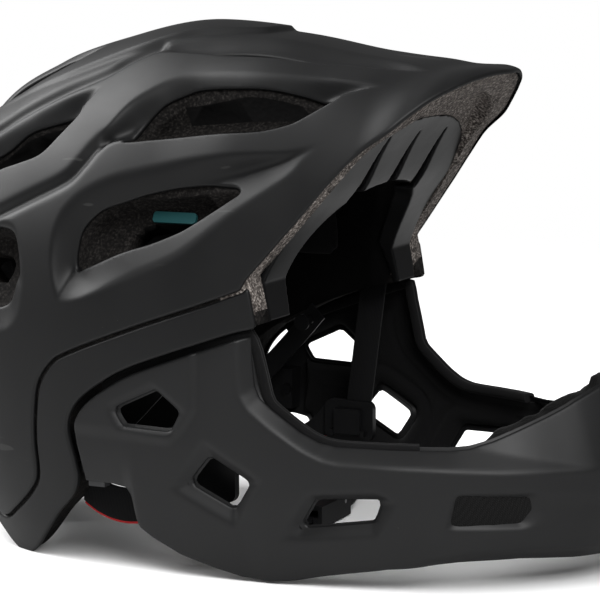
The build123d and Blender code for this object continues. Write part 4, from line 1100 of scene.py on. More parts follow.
def roll_edges(skin: bpy.types.Object, radius: float, wall: float,
               walls: Optional[Callable[[Vector], float]] = None, steps: int = 4) -> None:
    """Roll every open edge of a skin over a radius and down into a wall.

    Args:
        skin: the open skin, with its faces pointing outwards.
        radius: radius of the rolled edge in metres.
        wall: depth of the wall below it in metres.
        walls: gives the wall's depth from a place, where it changes.
        steps: steps round the radius.
    """
    bm = bmesh.new()
    bm.from_mesh(skin.data)
    bm.normal_update()
    for loop in boundary_loops(bm):
        count = len(loop)
        normals, outs = [], []
        for k, vert in enumerate(loop):
            direction = (loop[(k + 1) % count].co - loop[k - 1].co).normalized()
            normal = vert.normal.copy()
            out = direction.cross(normal).normalized()
            centres = [f.calc_center_median() for f in vert.link_faces]
            middle = sum(centres, Vector()) / len(centres)
            if out.dot(middle - vert.co) > 0:
                out = -out
            normals.append(normal)
            outs.append(out)
        for _ in range(4):
            normals = [(normals[k - 1] + normals[k] * 2 + normals[(k + 1) % count]).normalized()
                       for k in range(count)]
            outs = [(outs[k - 1] + outs[k] * 2 + outs[(k + 1) % count]).normalized()
                    for k in range(count)]
        previous = loop
        stages = [(radius * math.sin(a), radius * (1 - math.cos(a)))
                  for a in (math.pi / 2 * (i + 1) / steps for i in range(steps))]
        for side, down in stages + [(radius, None)]:
            ring = []
            for k, vert in enumerate(loop):
                deep = down
                if deep is None:
                    deep = radius + (walls(vert.co) if walls else wall)
                ring.append(bm.verts.new(vert.co + outs[k] * side - normals[k] * deep))
            for k in range(count):
                a, b = previous[k], previous[(k + 1) % count]
                c, d = ring[(k + 1) % count], ring[k]
                try:
                    bm.faces.new((a, b, c, d))
                except ValueError:
                    pass
            previous = ring
    bmesh.ops.recalc_face_normals(bm, faces=bm.faces)
    bm.to_mesh(skin.data)
    bm.free()
    face_outwards(skin)


@dataclass
class Shells:
    """Upper shell with its relief and vents, and the band below the seam."""

    finishes: Finishes
    step: float = 1.15
    seam_gap: float = 1.2
    edge_radius: float = 1.3
    wall: float = 4.0
    rim_wall: float = 0.5
    rim_reach: float = 4.0

    def __post_init__(self) -> None:
        """Prepare the dome, its relief and its outlines."""
        self.dome = Dome()
        self.relief = Relief()
        self.sides = SideOutlines(self.dome)

    def _side_points(self, share: np.ndarray, angle: np.ndarray) -> np.ndarray:
        """Places of grid points in the side view."""
        base = self.dome._on_base(share, angle)
        return base[:, (0, 2)]

    def upper_fields(self, grow: float) -> list[Field]:
        """Fields that trim the upper shell: seam, rim and vents."""
        def above_seam(share: np.ndarray, angle: np.ndarray) -> np.ndarray:
            """Distance above the seam and behind the rim."""
            return self.sides.above(self._side_points(share, angle), self.sides.seam,
                                    self.sides.rim) - self.seam_gap / 2 - grow

        def vent(recess: Recess) -> Field:
            """Field of one vent."""
            return lambda share, angle: self.relief.vent_field(recess, share, angle, grow)

        return [above_seam] + [vent(recess) for recess in RECESSES]

    def band_fields(self, grow: float) -> list[Field]:
        """Fields that trim the band: below the seam, above its lower edge and the floor."""
        def below_seam(share: np.ndarray, angle: np.ndarray) -> np.ndarray:
            """Distance below the seam."""
            points = self._side_points(share, angle)
            return -self.sides.above(points, self.sides.seam, self.sides.rim) - self.seam_gap / 2 - grow

        def above_edge(share: np.ndarray, angle: np.ndarray) -> np.ndarray:
            """Distance above the band's lower edge."""
            return self.sides.above(self._side_points(share, angle), self.sides.band,
                                    self.sides.rim) - grow

        def above_floor(share: np.ndarray, angle: np.ndarray) -> np.ndarray:
            """Height above the floor."""
            return self._side_points(share, angle)[:, 1] - grow * 0.2

        return [below_seam, above_edge, above_floor]

    def build(self) -> None:
        """Build both shells."""
        upper = DomeSkin(self.dome, self.relief, 0.0, self.upper_fields(self.edge_radius),
                         self.step).build("upper_shell_skin")
        rim = self.sides.line(self.sides.rim)

        def walls(place: Vector) -> float:
            """Depth of the rolled edge's wall, low along the rim, where the foam ring shows."""
            away = distance_to(np.array([[place.x / MM, place.z / MM]]), rim)[0]
            return MM * (self.rim_wall if away < self.rim_reach else self.wall)

        roll_edges(upper, self.edge_radius * MM, self.wall * MM, walls)
        self._close_rear(upper)
        smooth_by_angle(upper, 60)
        dress(upper, self.finishes.shell)
        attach(upper, "helmet")
        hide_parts("upper_shell")
        report(upper)
        band = DomeSkin(self.dome, None, -0.6, self.band_fields(self.edge_radius),
                        self.step).build("lower_shell_skin")
        roll_edges(band, self.edge_radius * MM, 1.2 * MM)
        smooth_by_angle(band, 60)
        dress(band, self.finishes.shell)
        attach(band, "helmet")
        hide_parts("lower_shell")
        report(band)

    @staticmethod
    def _close_rear(skin: bpy.types.Object) -> None:
        """Close the small opening at the dome's rear end, if one is left."""
        bm = bmesh.new()
        bm.from_mesh(skin.data)
        loops = [loop for loop in boundary_loops(bm)
                 if max(v.co.x for v in loop) < -0.168 and len(loop) > 5]
        for loop in loops:
            if max(v.co.x for v in loop) - min(v.co.x for v in loop) < 0.002:
                bm.faces.new(loop)
        bmesh.ops.recalc_face_normals(bm, faces=bm.faces)
        bm.to_mesh(skin.data)
        bm.free()
        face_outwards(skin)


# Foam
@dataclass
class Foam:
    """Bead foam under the shells, drawn in below every hollow of the relief."""

    finishes: Finishes
    shells: Shells
    gap: float = 2.4
    cavity_middle: float = -0.050
    cavity_half_length: float = 0.097
    cavity_half_width: float = 0.076
    cavity_power: float = 2.6
    # Painted shade: share by which the foam in the vents is darkened; the foam behind the visor and
    # along the rim ring keeps its own colour.
    shade: float = 0.94
    visor_start: float = 0.056
    ring_width: float = 15.0

    def build(self) -> None:
        """Build the foam from the CAD solid and the shell's inner side."""
        foam = copy_of_node("foam_liner", "foam_body")
        core = self._core()
        cut(foam, core, "INTERSECT")
        clean(foam)
        # Paint the cavity's dark lining and shade, and the vents' shade, into a face attribute.
        self._mark_lining_and_shade(foam)
        smooth_by_angle(foam, 40)
        dress(foam, self.finishes.foam)
        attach(foam, "helmet")
        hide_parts("foam_liner")
        report(foam)

    def _mark_lining_and_shade(self, foam: bpy.types.Object) -> None:
        """Mark the head cavity's faces near black, as its dark lining with painted shade, and paint
        shade onto the foam in the vents, away from the visor and the rim.
        """
        mesh = foam.data
        marks = mesh.attributes.new("lining_and_painted_shade", "FLOAT", "FACE")
        centres = np.array([(f.center.x / MM, f.center.z / MM) for f in mesh.polygons])
        sides = self.shells.sides
        from_rim = distance_to(centres, sides.line(sides.rim))
        for k, face in enumerate(mesh.polygons):
            x, y, z = face.center
            along = abs((x - self.cavity_middle) / self.cavity_half_length) ** self.cavity_power
            across = abs(y / self.cavity_half_width) ** self.cavity_power
            inward = -(face.normal.x * (x - self.cavity_middle) + face.normal.y * y
                       + face.normal.z * (z - 0.09))
            # Inward faces of the head cavity: dark lining with painted shade, at full strength.
            lining_and_shade = along + across < 1.12 and z < 0.212 and inward > 0
            # Elsewhere, away from the visor and the rim ring, the foam in the vents gets painted shade.
            pale = x > self.visor_start or from_rim[k] < self.ring_width
            marks.data[k].value = 1.0 if lining_and_shade else self.shade * float(not pale)

    def _core(self) -> bpy.types.Object:
        """Closed solid inside the shell, with the relief's hollows pressed in."""
        dome, relief = self.shells.dome, self.shells.relief
        skin = DomeSkin(dome, relief, -self.gap, [lambda s, a: np.ones(len(s))], 2.2)
        core = skin.build("foam_core")
        bm = bmesh.new()
        bm.from_mesh(core.data)
        for loop in boundary_loops(bm):
            bm.faces.new(loop)
        bmesh.ops.triangulate(bm, faces=[f for f in bm.faces if len(f.verts) > 4])
        bmesh.ops.recalc_face_normals(bm, faces=bm.faces)
        bm.to_mesh(core.data)
        bm.free()
        return core


# Moulded pieces
@dataclass(frozen=True)
class SoftMoulding:
    """A rigid piece with the soft edges that moulding gives it."""

    node: str
    body: str
    slot: str
    grain: float = 0.0009
    rounds: int = 6
    strength: float = 0.5
    limit: int = 180000

    def build(self, finish: bpy.types.Material) -> bpy.types.Object:
        """Round the piece's edges on a fine even mesh.

        Args:
            finish: the piece's material.

        Returns:
            The finished piece.
        """
        piece = copy_of_node(self.node, self.node + "_moulded")
        apply_modifier(piece, "REMESH", mode="VOXEL", voxel_size=self.grain, adaptivity=0.0)
        apply_modifier(piece, "SMOOTH", factor=self.strength, iterations=self.rounds)
        triangles = sum(len(f.vertices) - 2 for f in piece.data.polygons)
        if triangles > self.limit:
            apply_modifier(piece, "DECIMATE", ratio=self.limit / triangles)
        clean(piece)
        smooth_by_angle(piece, 60)
        dress(piece, finish)
        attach(piece, self.body)
        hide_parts(self.node)
        report(piece)
        return piece


# Chin guard
def inset_outline(outline: Sequence[Pair], distance: float) -> np.ndarray:
    """Corners of a convex outline drawn in by a distance."""
    corners = np.array(outline, float)
    middle = corners.mean(axis=0)
    lines = []
    for a, b in zip(corners, np.roll(corners, -1, axis=0)):
        along = (b - a) / np.hypot(*(b - a))
        inward = np.array([-along[1], along[0]])
        if (middle - a) @ inward < 0:
            inward = -inward
        lines.append((a + inward * distance, along))
    out = []
    for (p, d), (q, e) in zip([lines[-1]] + lines[:-1], lines):
        across = d[0] * e[1] - d[1] * e[0]
        t = ((q - p)[0] * e[1] - (q - p)[1] * e[0]) / across
        out.append(p + d * t)
    return np.array(out)


@dataclass(frozen=True)
class Slope:
    """Sloping border between two outlines, as places of run and height in millimetres."""

    outer: tuple[Pair, ...]
    inner: tuple[Pair, ...]
    height: float
    soft: float = 0.3

    def level(self, points: np.ndarray) -> np.ndarray:
        """Height at each place: none outside the outer outline, all of it inside the inner one."""
        to_outer = signed_inside(points, np.array(self.outer, float))
        to_inner = signed_inside(points, np.array(self.inner, float))
        share = to_outer / np.maximum(to_outer - to_inner, 1e-6)
        share = np.where(to_inner >= 0, 1.0, np.where(to_outer <= 0, 0.0, share))
        return self.height * ((1 - self.soft) * share + self.soft * soft_step(share))


@dataclass(frozen=True)
class Window:
    """Window of the guard: its hole and the bevelled recess round it."""

    name: str
    hole: tuple[Pair, ...]
    recess: tuple[Pair, ...]
    corner: float = 2.2
    depth: float = 3.4

    def clear(self, points: np.ndarray, grow: float) -> np.ndarray:
        """Distance outside the rounded hole, less a growth."""
        core = inset_outline(self.hole, self.corner)
        return -signed_inside(points, core) - self.corner - grow

    def funnel(self) -> Slope:
        """Recess that leads down to the hole."""
        return Slope(self.recess, self.hole, -self.depth)


WINDOWS = (
    Window("temple", ((251.3, 74.3), (231.5, 83.6), (220.8, 75.0), (224.8, 67.2), (247.3, 67.9)),
           ((255.0, 75.5), (233.0, 87.4), (216.4, 76.0), (223.0, 64.6), (249.3, 65.4)), 1.8, 2.2),
    Window("cheek", ((207.4, 55.5), (189.2, 45.3), (196.7, 33.4), (216.8, 43.7)),
           ((209.5, 64.2), (181.0, 47.0), (195.6, 25.0), (226.5, 41.0)), 2.4, 4.2),
    Window("bar", ((158.1, 39.8), (130.2, 40.8), (133.3, 31.7), (165.5, 27.4)),
           ((162.6, 43.4), (132.0, 45.6), (123.2, 41.2), (131.3, 25.0), (179.0, 19.5)), 1.6, 4.0),
    Window("front", ((95.9, 41.0), (66.8, 40.4), (69.3, 31.4), (96.7, 32.6)),
           ((98.4, 44.8), (66.0, 44.2), (26.0, 41.6), (20.0, 30.5), (66.0, 27.8), (104.0, 28.2)),
           1.6, 3.8),
)


@dataclass
class GuardForm:
    """Outer form of the chin guard: its plan, its edges and what is moulded into it.

    Places are millimetres of run along the plan from the nose, and of height.
    """

    rear: float = -65.0
    length: float = 240.0
    half_width: float = 101.0
    plan: tuple[Pair, ...] = (
        (0.0, 0.990), (0.050, 0.995), (0.133, 1.0), (0.238, 0.995), (0.321, 0.985), (0.400, 0.968),
        (0.483, 0.931), (0.554, 0.891), (0.633, 0.842), (0.704, 0.772), (0.758, 0.703),
        (0.808, 0.629), (0.858, 0.535), (0.904, 0.426), (0.946, 0.307), (0.979, 0.158), (1.0, 0.0))
    lower_edge: tuple[Pair, ...] = (
        (-30.0, 9.0), (33.7, 10.0), (65.0, 12.0), (94.5, 11.7), (127.6, 9.2), (147.2, 6.2),
        (158.0, 4.2), (170.0, 1.6), (182.0, 0.2), (196.0, 1.6), (208.0, 4.6), (224.0, 9.4),
        (237.0, 16.6), (243.0, 21.0), (244.9, 27.0), (246.0, 34.0), (249.0, 38.2), (256.0, 39.4),
        (300.0, 40.2))
    upper_edge: tuple[Pair, ...] = (
        (300.0, 125.0), (188.2, 125.0), (187.2, 98.2), (186.2, 88.0), (184.0, 83.2), (178.8, 78.6),
        (166.1, 69.2), (158.0, 65.0), (150.5, 63.4), (121.9, 62.8), (100.0, 62.4), (91.0, 63.0),
        (80.0, 65.4), (52.1, 74.6), (37.7, 80.0), (20.9, 84.8), (0.0, 86.4), (-30.0, 84.0))
    bevel_foot: tuple[Pair, ...] = (
        (193.6, 125.0), (193.4, 92.0), (192.4, 84.0), (188.4, 78.0), (178.8, 70.6), (164.8, 61.6),
        (156.0, 57.6), (148.8, 56.2), (113.4, 55.0), (77.9, 52.8), (40.5, 52.0), (-30.0, 52.0))
    bevel_ridge: tuple[Pair, ...] = ((-30.0, 52.2), (34.0, 52.6), (60.0, 57.4), (91.0, 62.8))
    bevel_depth: tuple[Pair, ...] = (
        (0.0, 12.5), (40.0, 12.0), (91.0, 10.0), (147.0, 9.5), (165.0, 8.5), (185.0, 6.5), (250.0, 6.0))
    ridge_depth: tuple[Pair, ...] = ((0.0, 0.2), (34.0, 0.6), (60.0, 4.4), (91.0, 9.6))
    tuck: tuple[tuple[float, float, float], ...] = (
        (0.0, 44.0, 6.0), (110.0, 44.0, 6.8), (147.0, 46.0, 8.8), (165.0, 54.0, 11.0),
        (192.0, 70.0, 12.0), (224.0, 66.0, 9.0), (246.0, 62.0, 5.0), (281.0, 62.0, 3.0))
    crease: tuple[Pair, ...] = ((0.0, 15.4), (31.0, 17.0), (60.0, 18.4), (87.0, 17.8), (112.0, 14.0))
    crease_slope: float = 0.85
    plan_step: float = 3.0
    plate: Slope = Slope(
        ((212.0, 130.0), (212.0, 97.7), (212.2, 76.6), (217.8, 67.6), (224.6, 60.6), (264.0, 61.0),
         (300.0, 61.0), (300.0, 130.0)),
        ((213.6, 130.0), (213.6, 97.0), (213.9, 77.0), (219.8, 68.4), (226.6, 62.6), (235.0, 63.4),
         (250.7, 66.4), (300.0, 66.4), (300.0, 130.0)), 1.5)

    def __post_init__(self) -> None:
        """Lay the smooth plan curve and measure its run from the nose."""
        half = np.array([(self.rear + a * self.length, b * self.half_width) for a, b in self.plan])
        whole = np.vstack([half * (1, -1), half[::-1][1:]])
        curve = curve_through(whole, False, 24)
        run = np.concatenate([[0], np.cumsum(np.hypot(*np.diff(curve, axis=0).T))])
        self._curve = curve
        self._run = run - run[-1] / 2
        self.reach = float(run[-1] / 2)

    def plan_point(self, run: np.ndarray) -> tuple[np.ndarray, np.ndarray]:
        """Plan places and outward directions at runs, positive to the left."""
        def at(place: np.ndarray) -> np.ndarray:
            """Plan place at a run."""
            return np.stack([np.interp(place, self._run, self._curve[:, k]) for k in (0, 1)], axis=1)

        dx, dy = (at(run + self.plan_step) - at(run - self.plan_step)).T
        size = np.hypot(dx, dy)
        return at(run), np.stack([dy / size, -dx / size], axis=1)

    def side_points(self, run: np.ndarray, height: np.ndarray) -> np.ndarray:
        """Side-view places of the outer form."""
        place, _ = self.plan_point(run)
        return np.stack([place[:, 0], height], axis=1)

    def outline(self) -> np.ndarray:
        """Outline of one arm, with room past the nose."""
        return np.array(self.lower_edge + self.upper_edge, float)

    def inward(self, run: np.ndarray, height: np.ndarray, moulded: float = 1.0) -> np.ndarray:
        """Depth of the outer face behind the plan curve.

        Args:
            run: run from the nose.
            height: height above the floor.
            moulded: share of the plate and the recesses that counts.

        Returns:
            Depth in millimetres.
        """
        run = np.abs(run)
        points = np.stack([run, height], axis=1)
        total = self._tuck(run, height) + self._bevel(points)
        line = np.interp(run, *zip(*self.crease))
        fade = soft_step((118.0 - run) / 14.0)
        total += fade * self.crease_slope * np.maximum(line - height, 0)
        total -= moulded * self.plate.level(points)
        for window in WINDOWS:
            total -= moulded * window.funnel().level(points)
        return total

    def _tuck(self, run: np.ndarray, height: np.ndarray) -> np.ndarray:
        """Depth of the lower part, which curves inwards."""
        table = np.array(self.tuck)
        start = np.interp(run, table[:, 0], table[:, 1])
        most = np.interp(run, table[:, 0], table[:, 2])
        low = np.interp(run, *zip(*self.lower_edge))
        share = np.clip((start - height) / np.maximum(start - low, 1.0), 0, 1.15)
        return most * share ** 2.4

    def _bevel(self, points: np.ndarray) -> np.ndarray:
        """Depth of the bevel along the upper edge."""
        run, height = points[:, 0], points[:, 1]
        foot = np.array(self.bevel_foot, float)
        edge = np.array(self.upper_edge[1:], float)
        band = np.vstack([foot, edge[::-1]])
        inside = inside_of(points, np.vstack([foot, [[-30.0, 140.0], [193.6, 140.0]]]))
        away = distance_to(points, foot)
        left = distance_to(points, edge)
        past = ~inside_of(points, band) & inside
        share = np.where(past, 1.0, away / np.maximum(away + left, 1e-6))
        most = np.interp(run, *zip(*self.bevel_depth))
        sloped = np.where(inside, share * most, 0.0)
        ridge = np.interp(run, *zip(*self.bevel_ridge))
        at_ridge = np.interp(run, *zip(*self.ridge_depth))
        low = np.interp(run, *zip(*sorted(self.bevel_foot)))
        top = np.interp(run, *zip(*sorted(self.upper_edge)))
        first = np.clip((height - low) / np.maximum(ridge - low, 0.5), 0, 1) * at_ridge
        then = np.clip((height - ridge) / np.maximum(top - ridge, 1.0), 0, 1) * (most - at_ridge)
        front = first + then
        mix = soft_step((104.0 - run) / 16.0)
        return front * mix + sloped * (1 - mix)

    def points(self, run: np.ndarray, height: np.ndarray, deeper: float | np.ndarray,
               moulded: float = 1.0) -> np.ndarray:
        """Points in millimetres at a depth behind the outer face."""
        place, out = self.plan_point(run)
        depth = self.inward(run, height, moulded) + deeper
        flat = place - out * depth[:, None]
        return np.stack([flat[:, 0], flat[:, 1], height], axis=1)


@dataclass
class ChinGuard:
    """Moulded chin guard: outer face, rolled edges and inner face."""

    finishes: Finishes
    sides: SideOutlines
    form: GuardForm
    step: float = 1.15
    edge_radius: float = 1.2
    wall: float = 2.6
    helmet_gap: float = 3.0
    inner_step: float = 2.0
    top: float = 118.0
    soft_reach: float = 0.9
    softening: tuple[Pair, ...] = ((-1, 0.25), (0, 0.5), (1, 0.25))

    def fields(self, grow: float) -> list[Field]:
        """Fields that trim the guard: its outline, the helmet's edge and the windows."""
        outline = self.form.outline()

        def edge(run: np.ndarray, height: np.ndarray) -> np.ndarray:
            """Distance inside the guard's outline."""
            return signed_inside(np.stack([np.abs(run), height], axis=1), outline) - grow

        def helmet(run: np.ndarray, height: np.ndarray) -> np.ndarray:
            """Distance clear of the helmet's lower edge."""
            points = self.form.side_points(run, height)
            return -self.sides.above(points, self.sides.band, self.sides.rim) - self.helmet_gap - grow

        def opening(window: Window) -> Field:
            """Field of one window."""
            return lambda run, height: window.clear(
                np.stack([np.abs(run), height], axis=1), grow)

        return [edge, helmet] + [opening(window) for window in WINDOWS]

    def grid(self, grow: float, step: float) -> FieldGrid:
        """Grid over the whole guard, the same on both sides of the nose."""
        half = np.linspace(0, self.form.reach - 0.5, int(self.form.reach / step) + 1)
        runs = np.concatenate([-half[:0:-1], half])
        heights = np.linspace(0.2, self.top, int(self.top / step) + 1)
        return FieldGrid(runs, heights, self.fields(grow))

    def _lay(self, deeper: float) -> Callable[[np.ndarray, np.ndarray], np.ndarray]:
        """Points at a depth, with every crease softened over a millimetre."""
        def lay(run: np.ndarray, height: np.ndarray) -> np.ndarray:
            """Points of the softened face in millimetres."""
            depth = np.zeros(len(run))
            for i, a in self.softening:
                for j, b in self.softening:
                    depth += a * b * self.form.inward(run + self.soft_reach * i,
                                                      height + self.soft_reach * j)
            place, out = self.form.plan_point(run)
            flat = place - out * (depth + deeper)[:, None]
            return np.stack([flat[:, 0], flat[:, 1], height], axis=1)

        return lay

    def build(self) -> None:
        """Build the guard as one piece."""
        guard = self.grid(self.edge_radius, self.step).build("chin_guard_body", self._lay(0.0))
        face_outwards(guard)
        roll_edges(guard, self.edge_radius * MM, (self.wall - self.edge_radius) * MM)
        inner = self.grid(0.0, self.inner_step).build("guard_inner", self._lay(self.wall))
        face_outwards(inner)
        inner.data.flip_normals()
        make_active(guard)
        inner.select_set(True)
        bpy.ops.object.join()
        smooth_by_angle(guard, 50)
        dress(guard, self.finishes.guard)
        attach(guard, "chin_guard")
        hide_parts("chin_guard")
        report(guard)


# Padding
@dataclass
class GuardPads:
    """Padding of the guard's arms: a thin crowned pad with a ribbed roll along its edge."""

    finishes: Finishes
    guard: ChinGuard
    start: float = 110.5
    end: float = 250.5
    back: float = 3.3
    thickness: float = 6.2
    crown: float = 8.0
    seam_place: float = 10.5
    seam_depth: float = 1.3
    seam_width: float = 1.5
    billow: float = 0.5
    border: float = 2.6
    roll_radius: float = 2.3
    roll_past: float = 9.0
    roll_depths: tuple[float, ...] = (5.7, 8.3)

    def build(self) -> None:
        """Build both arms' pads."""
        for side in Side:
            pad = self._face(side)
            rolls = [self._roll(side, depth) for depth in self.roll_depths]
            make_active(pad)
            for roll in rolls:
                roll.select_set(True)
            bpy.ops.object.join()
            smooth_by_angle(pad, 60)
            dress(pad, self.finishes.padding)
            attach(pad, "chin_guard")
            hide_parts("guard_liner_" + side.word)
            report(pad)

    def _margin(self, run: np.ndarray, height: np.ndarray) -> np.ndarray:
        """Distance into the pad from its edges and from the windows."""
        form = self.guard.form
        points = np.stack([np.abs(run), height], axis=1)
        parts = [signed_inside(points, form.outline()) - self.border,
                 np.abs(run) - self.start, self.end - np.abs(run)]
        side = form.side_points(run, height)
        sides = self.guard.sides
        parts.append(-sides.above(side, sides.band, sides.rim) - 0.8)
        parts += [window.clear(points, self.border) for window in WINDOWS]
        return np.min(np.stack(parts), axis=0)

    def _face(self, side: Side) -> bpy.types.Object:
        """Crowned face of one pad with its seam, closed by a flat back."""
        half = np.linspace(self.start - 1, self.end + 1, 96)
        runs = half if side is Side.LEFT else -half[::-1]
        heights = np.linspace(1.0, 116.0, 78)
        grid = FieldGrid(runs, heights, [self._margin])

        def lay_front(run: np.ndarray, height: np.ndarray) -> np.ndarray:
            """Points of the crowned face in millimetres."""
            into = np.maximum(self._margin(run, height), 0)
            round_ = np.sqrt(np.clip(1 - (1 - np.minimum(into / self.crown, 1)) ** 2, 0, 1))
            seam = self.seam_depth * np.exp(-((into - self.seam_place) / self.seam_width) ** 2)
            billow = self.billow * np.sin(np.abs(run) * 0.11) * np.sin(height * 0.09)
            depth = self.back + (self.thickness + billow) * round_ - seam
            return self.guard.form.points(run, height, depth, 0.0)

        def lay_back(run: np.ndarray, height: np.ndarray) -> np.ndarray:
            """Points of the back in millimetres."""
            return self.guard.form.points(run, height, self.back, 0.0)

        pad = grid.build("guard_pad_" + side.word, lay_front)
        rear = grid.build("pad_back", lay_back)
        make_active(pad)
        rear.select_set(True)
        bpy.ops.object.join()
        clean(pad, 0.00003)
        return pad

    def _roll(self, side: Side, depth: float) -> bpy.types.Object:
        """One padded rib along the pad's upper edge."""
        form, sides = self.guard.form, self.guard.sides
        runs = np.linspace(self.start + 3, self.end + self.roll_past, 90)
        heights = np.linspace(40, 118, 320)
        top = []
        for run in runs:
            column = np.full(len(heights), run)
            points = form.side_points(column, heights)
            free = -sides.above(points, sides.band, sides.rim) + 0.6
            free = np.minimum(free, signed_inside(np.stack([column, heights], axis=1),
                                                  form.outline()) + 1.2)
            good = heights[free > 0]
            top.append(good.max() if len(good) else heights[0])
        height = np.array(top) - self.roll_radius
        height = np.convolve(np.pad(height, 2, mode="edge"), np.ones(5) / 5, mode="valid")
        place, out = form.plan_point(runs * side.value)
        flat = place - out * (depth + form._bevel(np.stack([runs, height], axis=1)) * 0.6)[:, None]
        line = np.stack([flat[:, 0], flat[:, 1], height], axis=1) * MM
        return tube("pad_roll", line, self.roll_radius * MM)


@dataclass(frozen=True)
class SoftPad:
    """Sewn pad that swells from its solid, with sewn seams across it."""

    node: str
    body: str
    fill: float
    grain: float = 0.004
    shrink: float = 0.0012
    most: float = 0.003
    pressure: float = 4.0
    seams: tuple[tuple[int, float], ...] = ()
    seam_width: float = 1.8
    seam_depth: float = 1.4

    def build(self, finish: bpy.types.Material) -> bpy.types.Object:
        """Swell the pad as cloth under pressure and sew its seams.

        Args:
            finish: the pad's cloth.

        Returns:
            The finished pad.
        """
        pad = copy_of_node(self.node, self.node + "_sewn")
        apply_modifier(pad, "REMESH", mode="VOXEL", voxel_size=self.grain, adaptivity=0.0)
        apply_modifier(pad, "SMOOTH", factor=0.5, iterations=3)
        self._draw_in(pad)
        self._swell(pad)
        apply_modifier(pad, "SUBSURF", levels=1, render_levels=1)
        self._sew(pad)
        smooth_by_angle(pad, 70)
        dress(pad, finish)
        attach(pad, self.body)
        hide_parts(self.node)
        report(pad)
        return pad

    def _draw_in(self, pad: bpy.types.Object) -> None:
        """Draw the pad in a little, so that it has room to swell."""
        normals = [v.normal.copy() for v in pad.data.vertices]
        for vert, normal in zip(pad.data.vertices, normals):
            vert.co -= normal * self.shrink

    def _swell(self, pad: bpy.types.Object) -> None:
        """Swell the pad as a closed cloth under pressure, within a cap."""
        start = [v.co.copy() for v in pad.data.vertices]
        make_active(pad)
        cloth = pad.modifiers.new("swell", "CLOTH")
        cloth.settings.quality = 4
        cloth.settings.mass = 0.2
        cloth.settings.use_pressure = True
        cloth.settings.uniform_pressure_force = self.pressure
        cloth.settings.effector_weights.gravity = 0.0
        cloth.collision_settings.use_collision = False
        cloth.point_cache.frame_start = 1
        cloth.point_cache.frame_end = 20
        scene = bpy.context.scene
        for frame_number in range(1, 21):
            scene.frame_set(frame_number)
        bpy.ops.object.modifier_apply(modifier=cloth.name)
        scene.frame_set(1)
        drift = sum((v.co - s for v, s in zip(pad.data.vertices, start)), Vector()) / len(start)
        for vert, place in zip(pad.data.vertices, start):
            move = vert.co - place - drift
            if move.length > self.most:
                move *= self.most / move.length
            vert.co = place + move

    def _sew(self, pad: bpy.types.Object) -> None:
        """Press the sewn seams into the cloth, each on a level of one axis."""
        mesh = pad.data
        places = np.array([v.co[:] for v in mesh.vertices])
        normals = np.array([v.normal[:] for v in mesh.vertices])
        press = np.zeros(len(places))
        for axis, level in self.seams:
            away = places[:, axis] / MM - level
            press = np.maximum(press, np.exp(-(away / self.seam_width) ** 2))
        moved = places - normals * (press * self.seam_depth * MM)[:, None]
        mesh.vertices.foreach_set("co", moved.ravel())
        mesh.update()


# Straps
@dataclass
class Straps:
    """Webbing with soft edges, and the red piping of the rear straps."""

    finishes: Finishes
    edge: float = 0.0004
    piping_radius: float = 0.0012
    piping_start: float = -0.0640
    piping_end: float = -0.0150

    def build(self) -> None:
        """Build the straps of both sides."""
        for side in Side:
            for kind in ("strap_front_", "strap_rear_", "chin_strap_"):
                self._strap(kind + side.word)
            self._piping(side)

    def _strap(self, node: str) -> None:
        """Soften the edges of one strap."""
        strap = copy_of_node(node, node + "_webbing")
        apply_modifier(strap, "BEVEL", width=self.edge, segments=2, limit_method="ANGLE",
                       angle_limit=math.radians(50))
        smooth_by_angle(strap, 50)
        dress(strap, self.finishes.webbing)
        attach(strap, "helmet")
        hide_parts(node)
        report(strap)

    def _piping(self, side: Side) -> None:
        """Lay the piping along the lower edge of one rear strap."""
        mesh = frame["nodes"]["strap_rear_" + side.word].data
        points = np.array([v.co[:] for v in mesh.vertices])
        ends = np.array([points[list(e.vertices)] for e in mesh.edges])
        line = []
        for x in np.linspace(self.piping_start, self.piping_end, 24):
            first, last = ends[:, 0], ends[:, 1]
            across = (first[:, 0] - x) * (last[:, 0] - x) < 0
            if not across.any():
                continue
            first, last = first[across], last[across]
            t = (x - first[:, 0]) / (last[:, 0] - first[:, 0])
            met = first + (last - first) * t[:, None]
            line.append((x, met[:, 1].mean(), met[:, 2].min()))
        rows = np.array(line)
        rows[1:-1, 2] = (rows[:-2, 2] + rows[1:-1, 2] + rows[2:, 2]) / 3
        piping = tube("rear_strap_piping_" + side.word, rows, self.piping_radius)
        smooth_by_angle(piping, 60)
        dress(piping, self.finishes.piping)
        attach(piping, "helmet")
        report(piping)


SOFT_PADS = (
    SoftPad("chin_pad", "chin_guard", 0.6, 0.005, 0.0012, 0.004, 4.0, ((2, 84.0), (2, 50.0), (1, 30.0),
                                                                      (1, -30.0)), 2.6, 2.2),
    SoftPad("crown_pad", "helmet", 0.6, 0.004, seams=((0, -34.0), (0, -66.0))),
    SoftPad("brow_pad", "helmet", 0.6, 0.004, seams=((1, 16.0), (1, -16.0))),
    SoftPad("rear_pad", "helmet", 0.6, 0.004, seams=((1, 14.0), (1, -14.0))),
    SoftPad("side_pad_left", "helmet", 0.6, 0.004, seams=((0, -34.0), (0, -66.0))),
    SoftPad("side_pad_right", "helmet", 0.6, 0.004, seams=((0, -34.0), (0, -66.0))),
    SoftPad("chin_strap_pad", "helmet", 0.6, 0.0025, 0.0006, 0.0015, seams=((1, -25.0), (1, -39.0))),
)


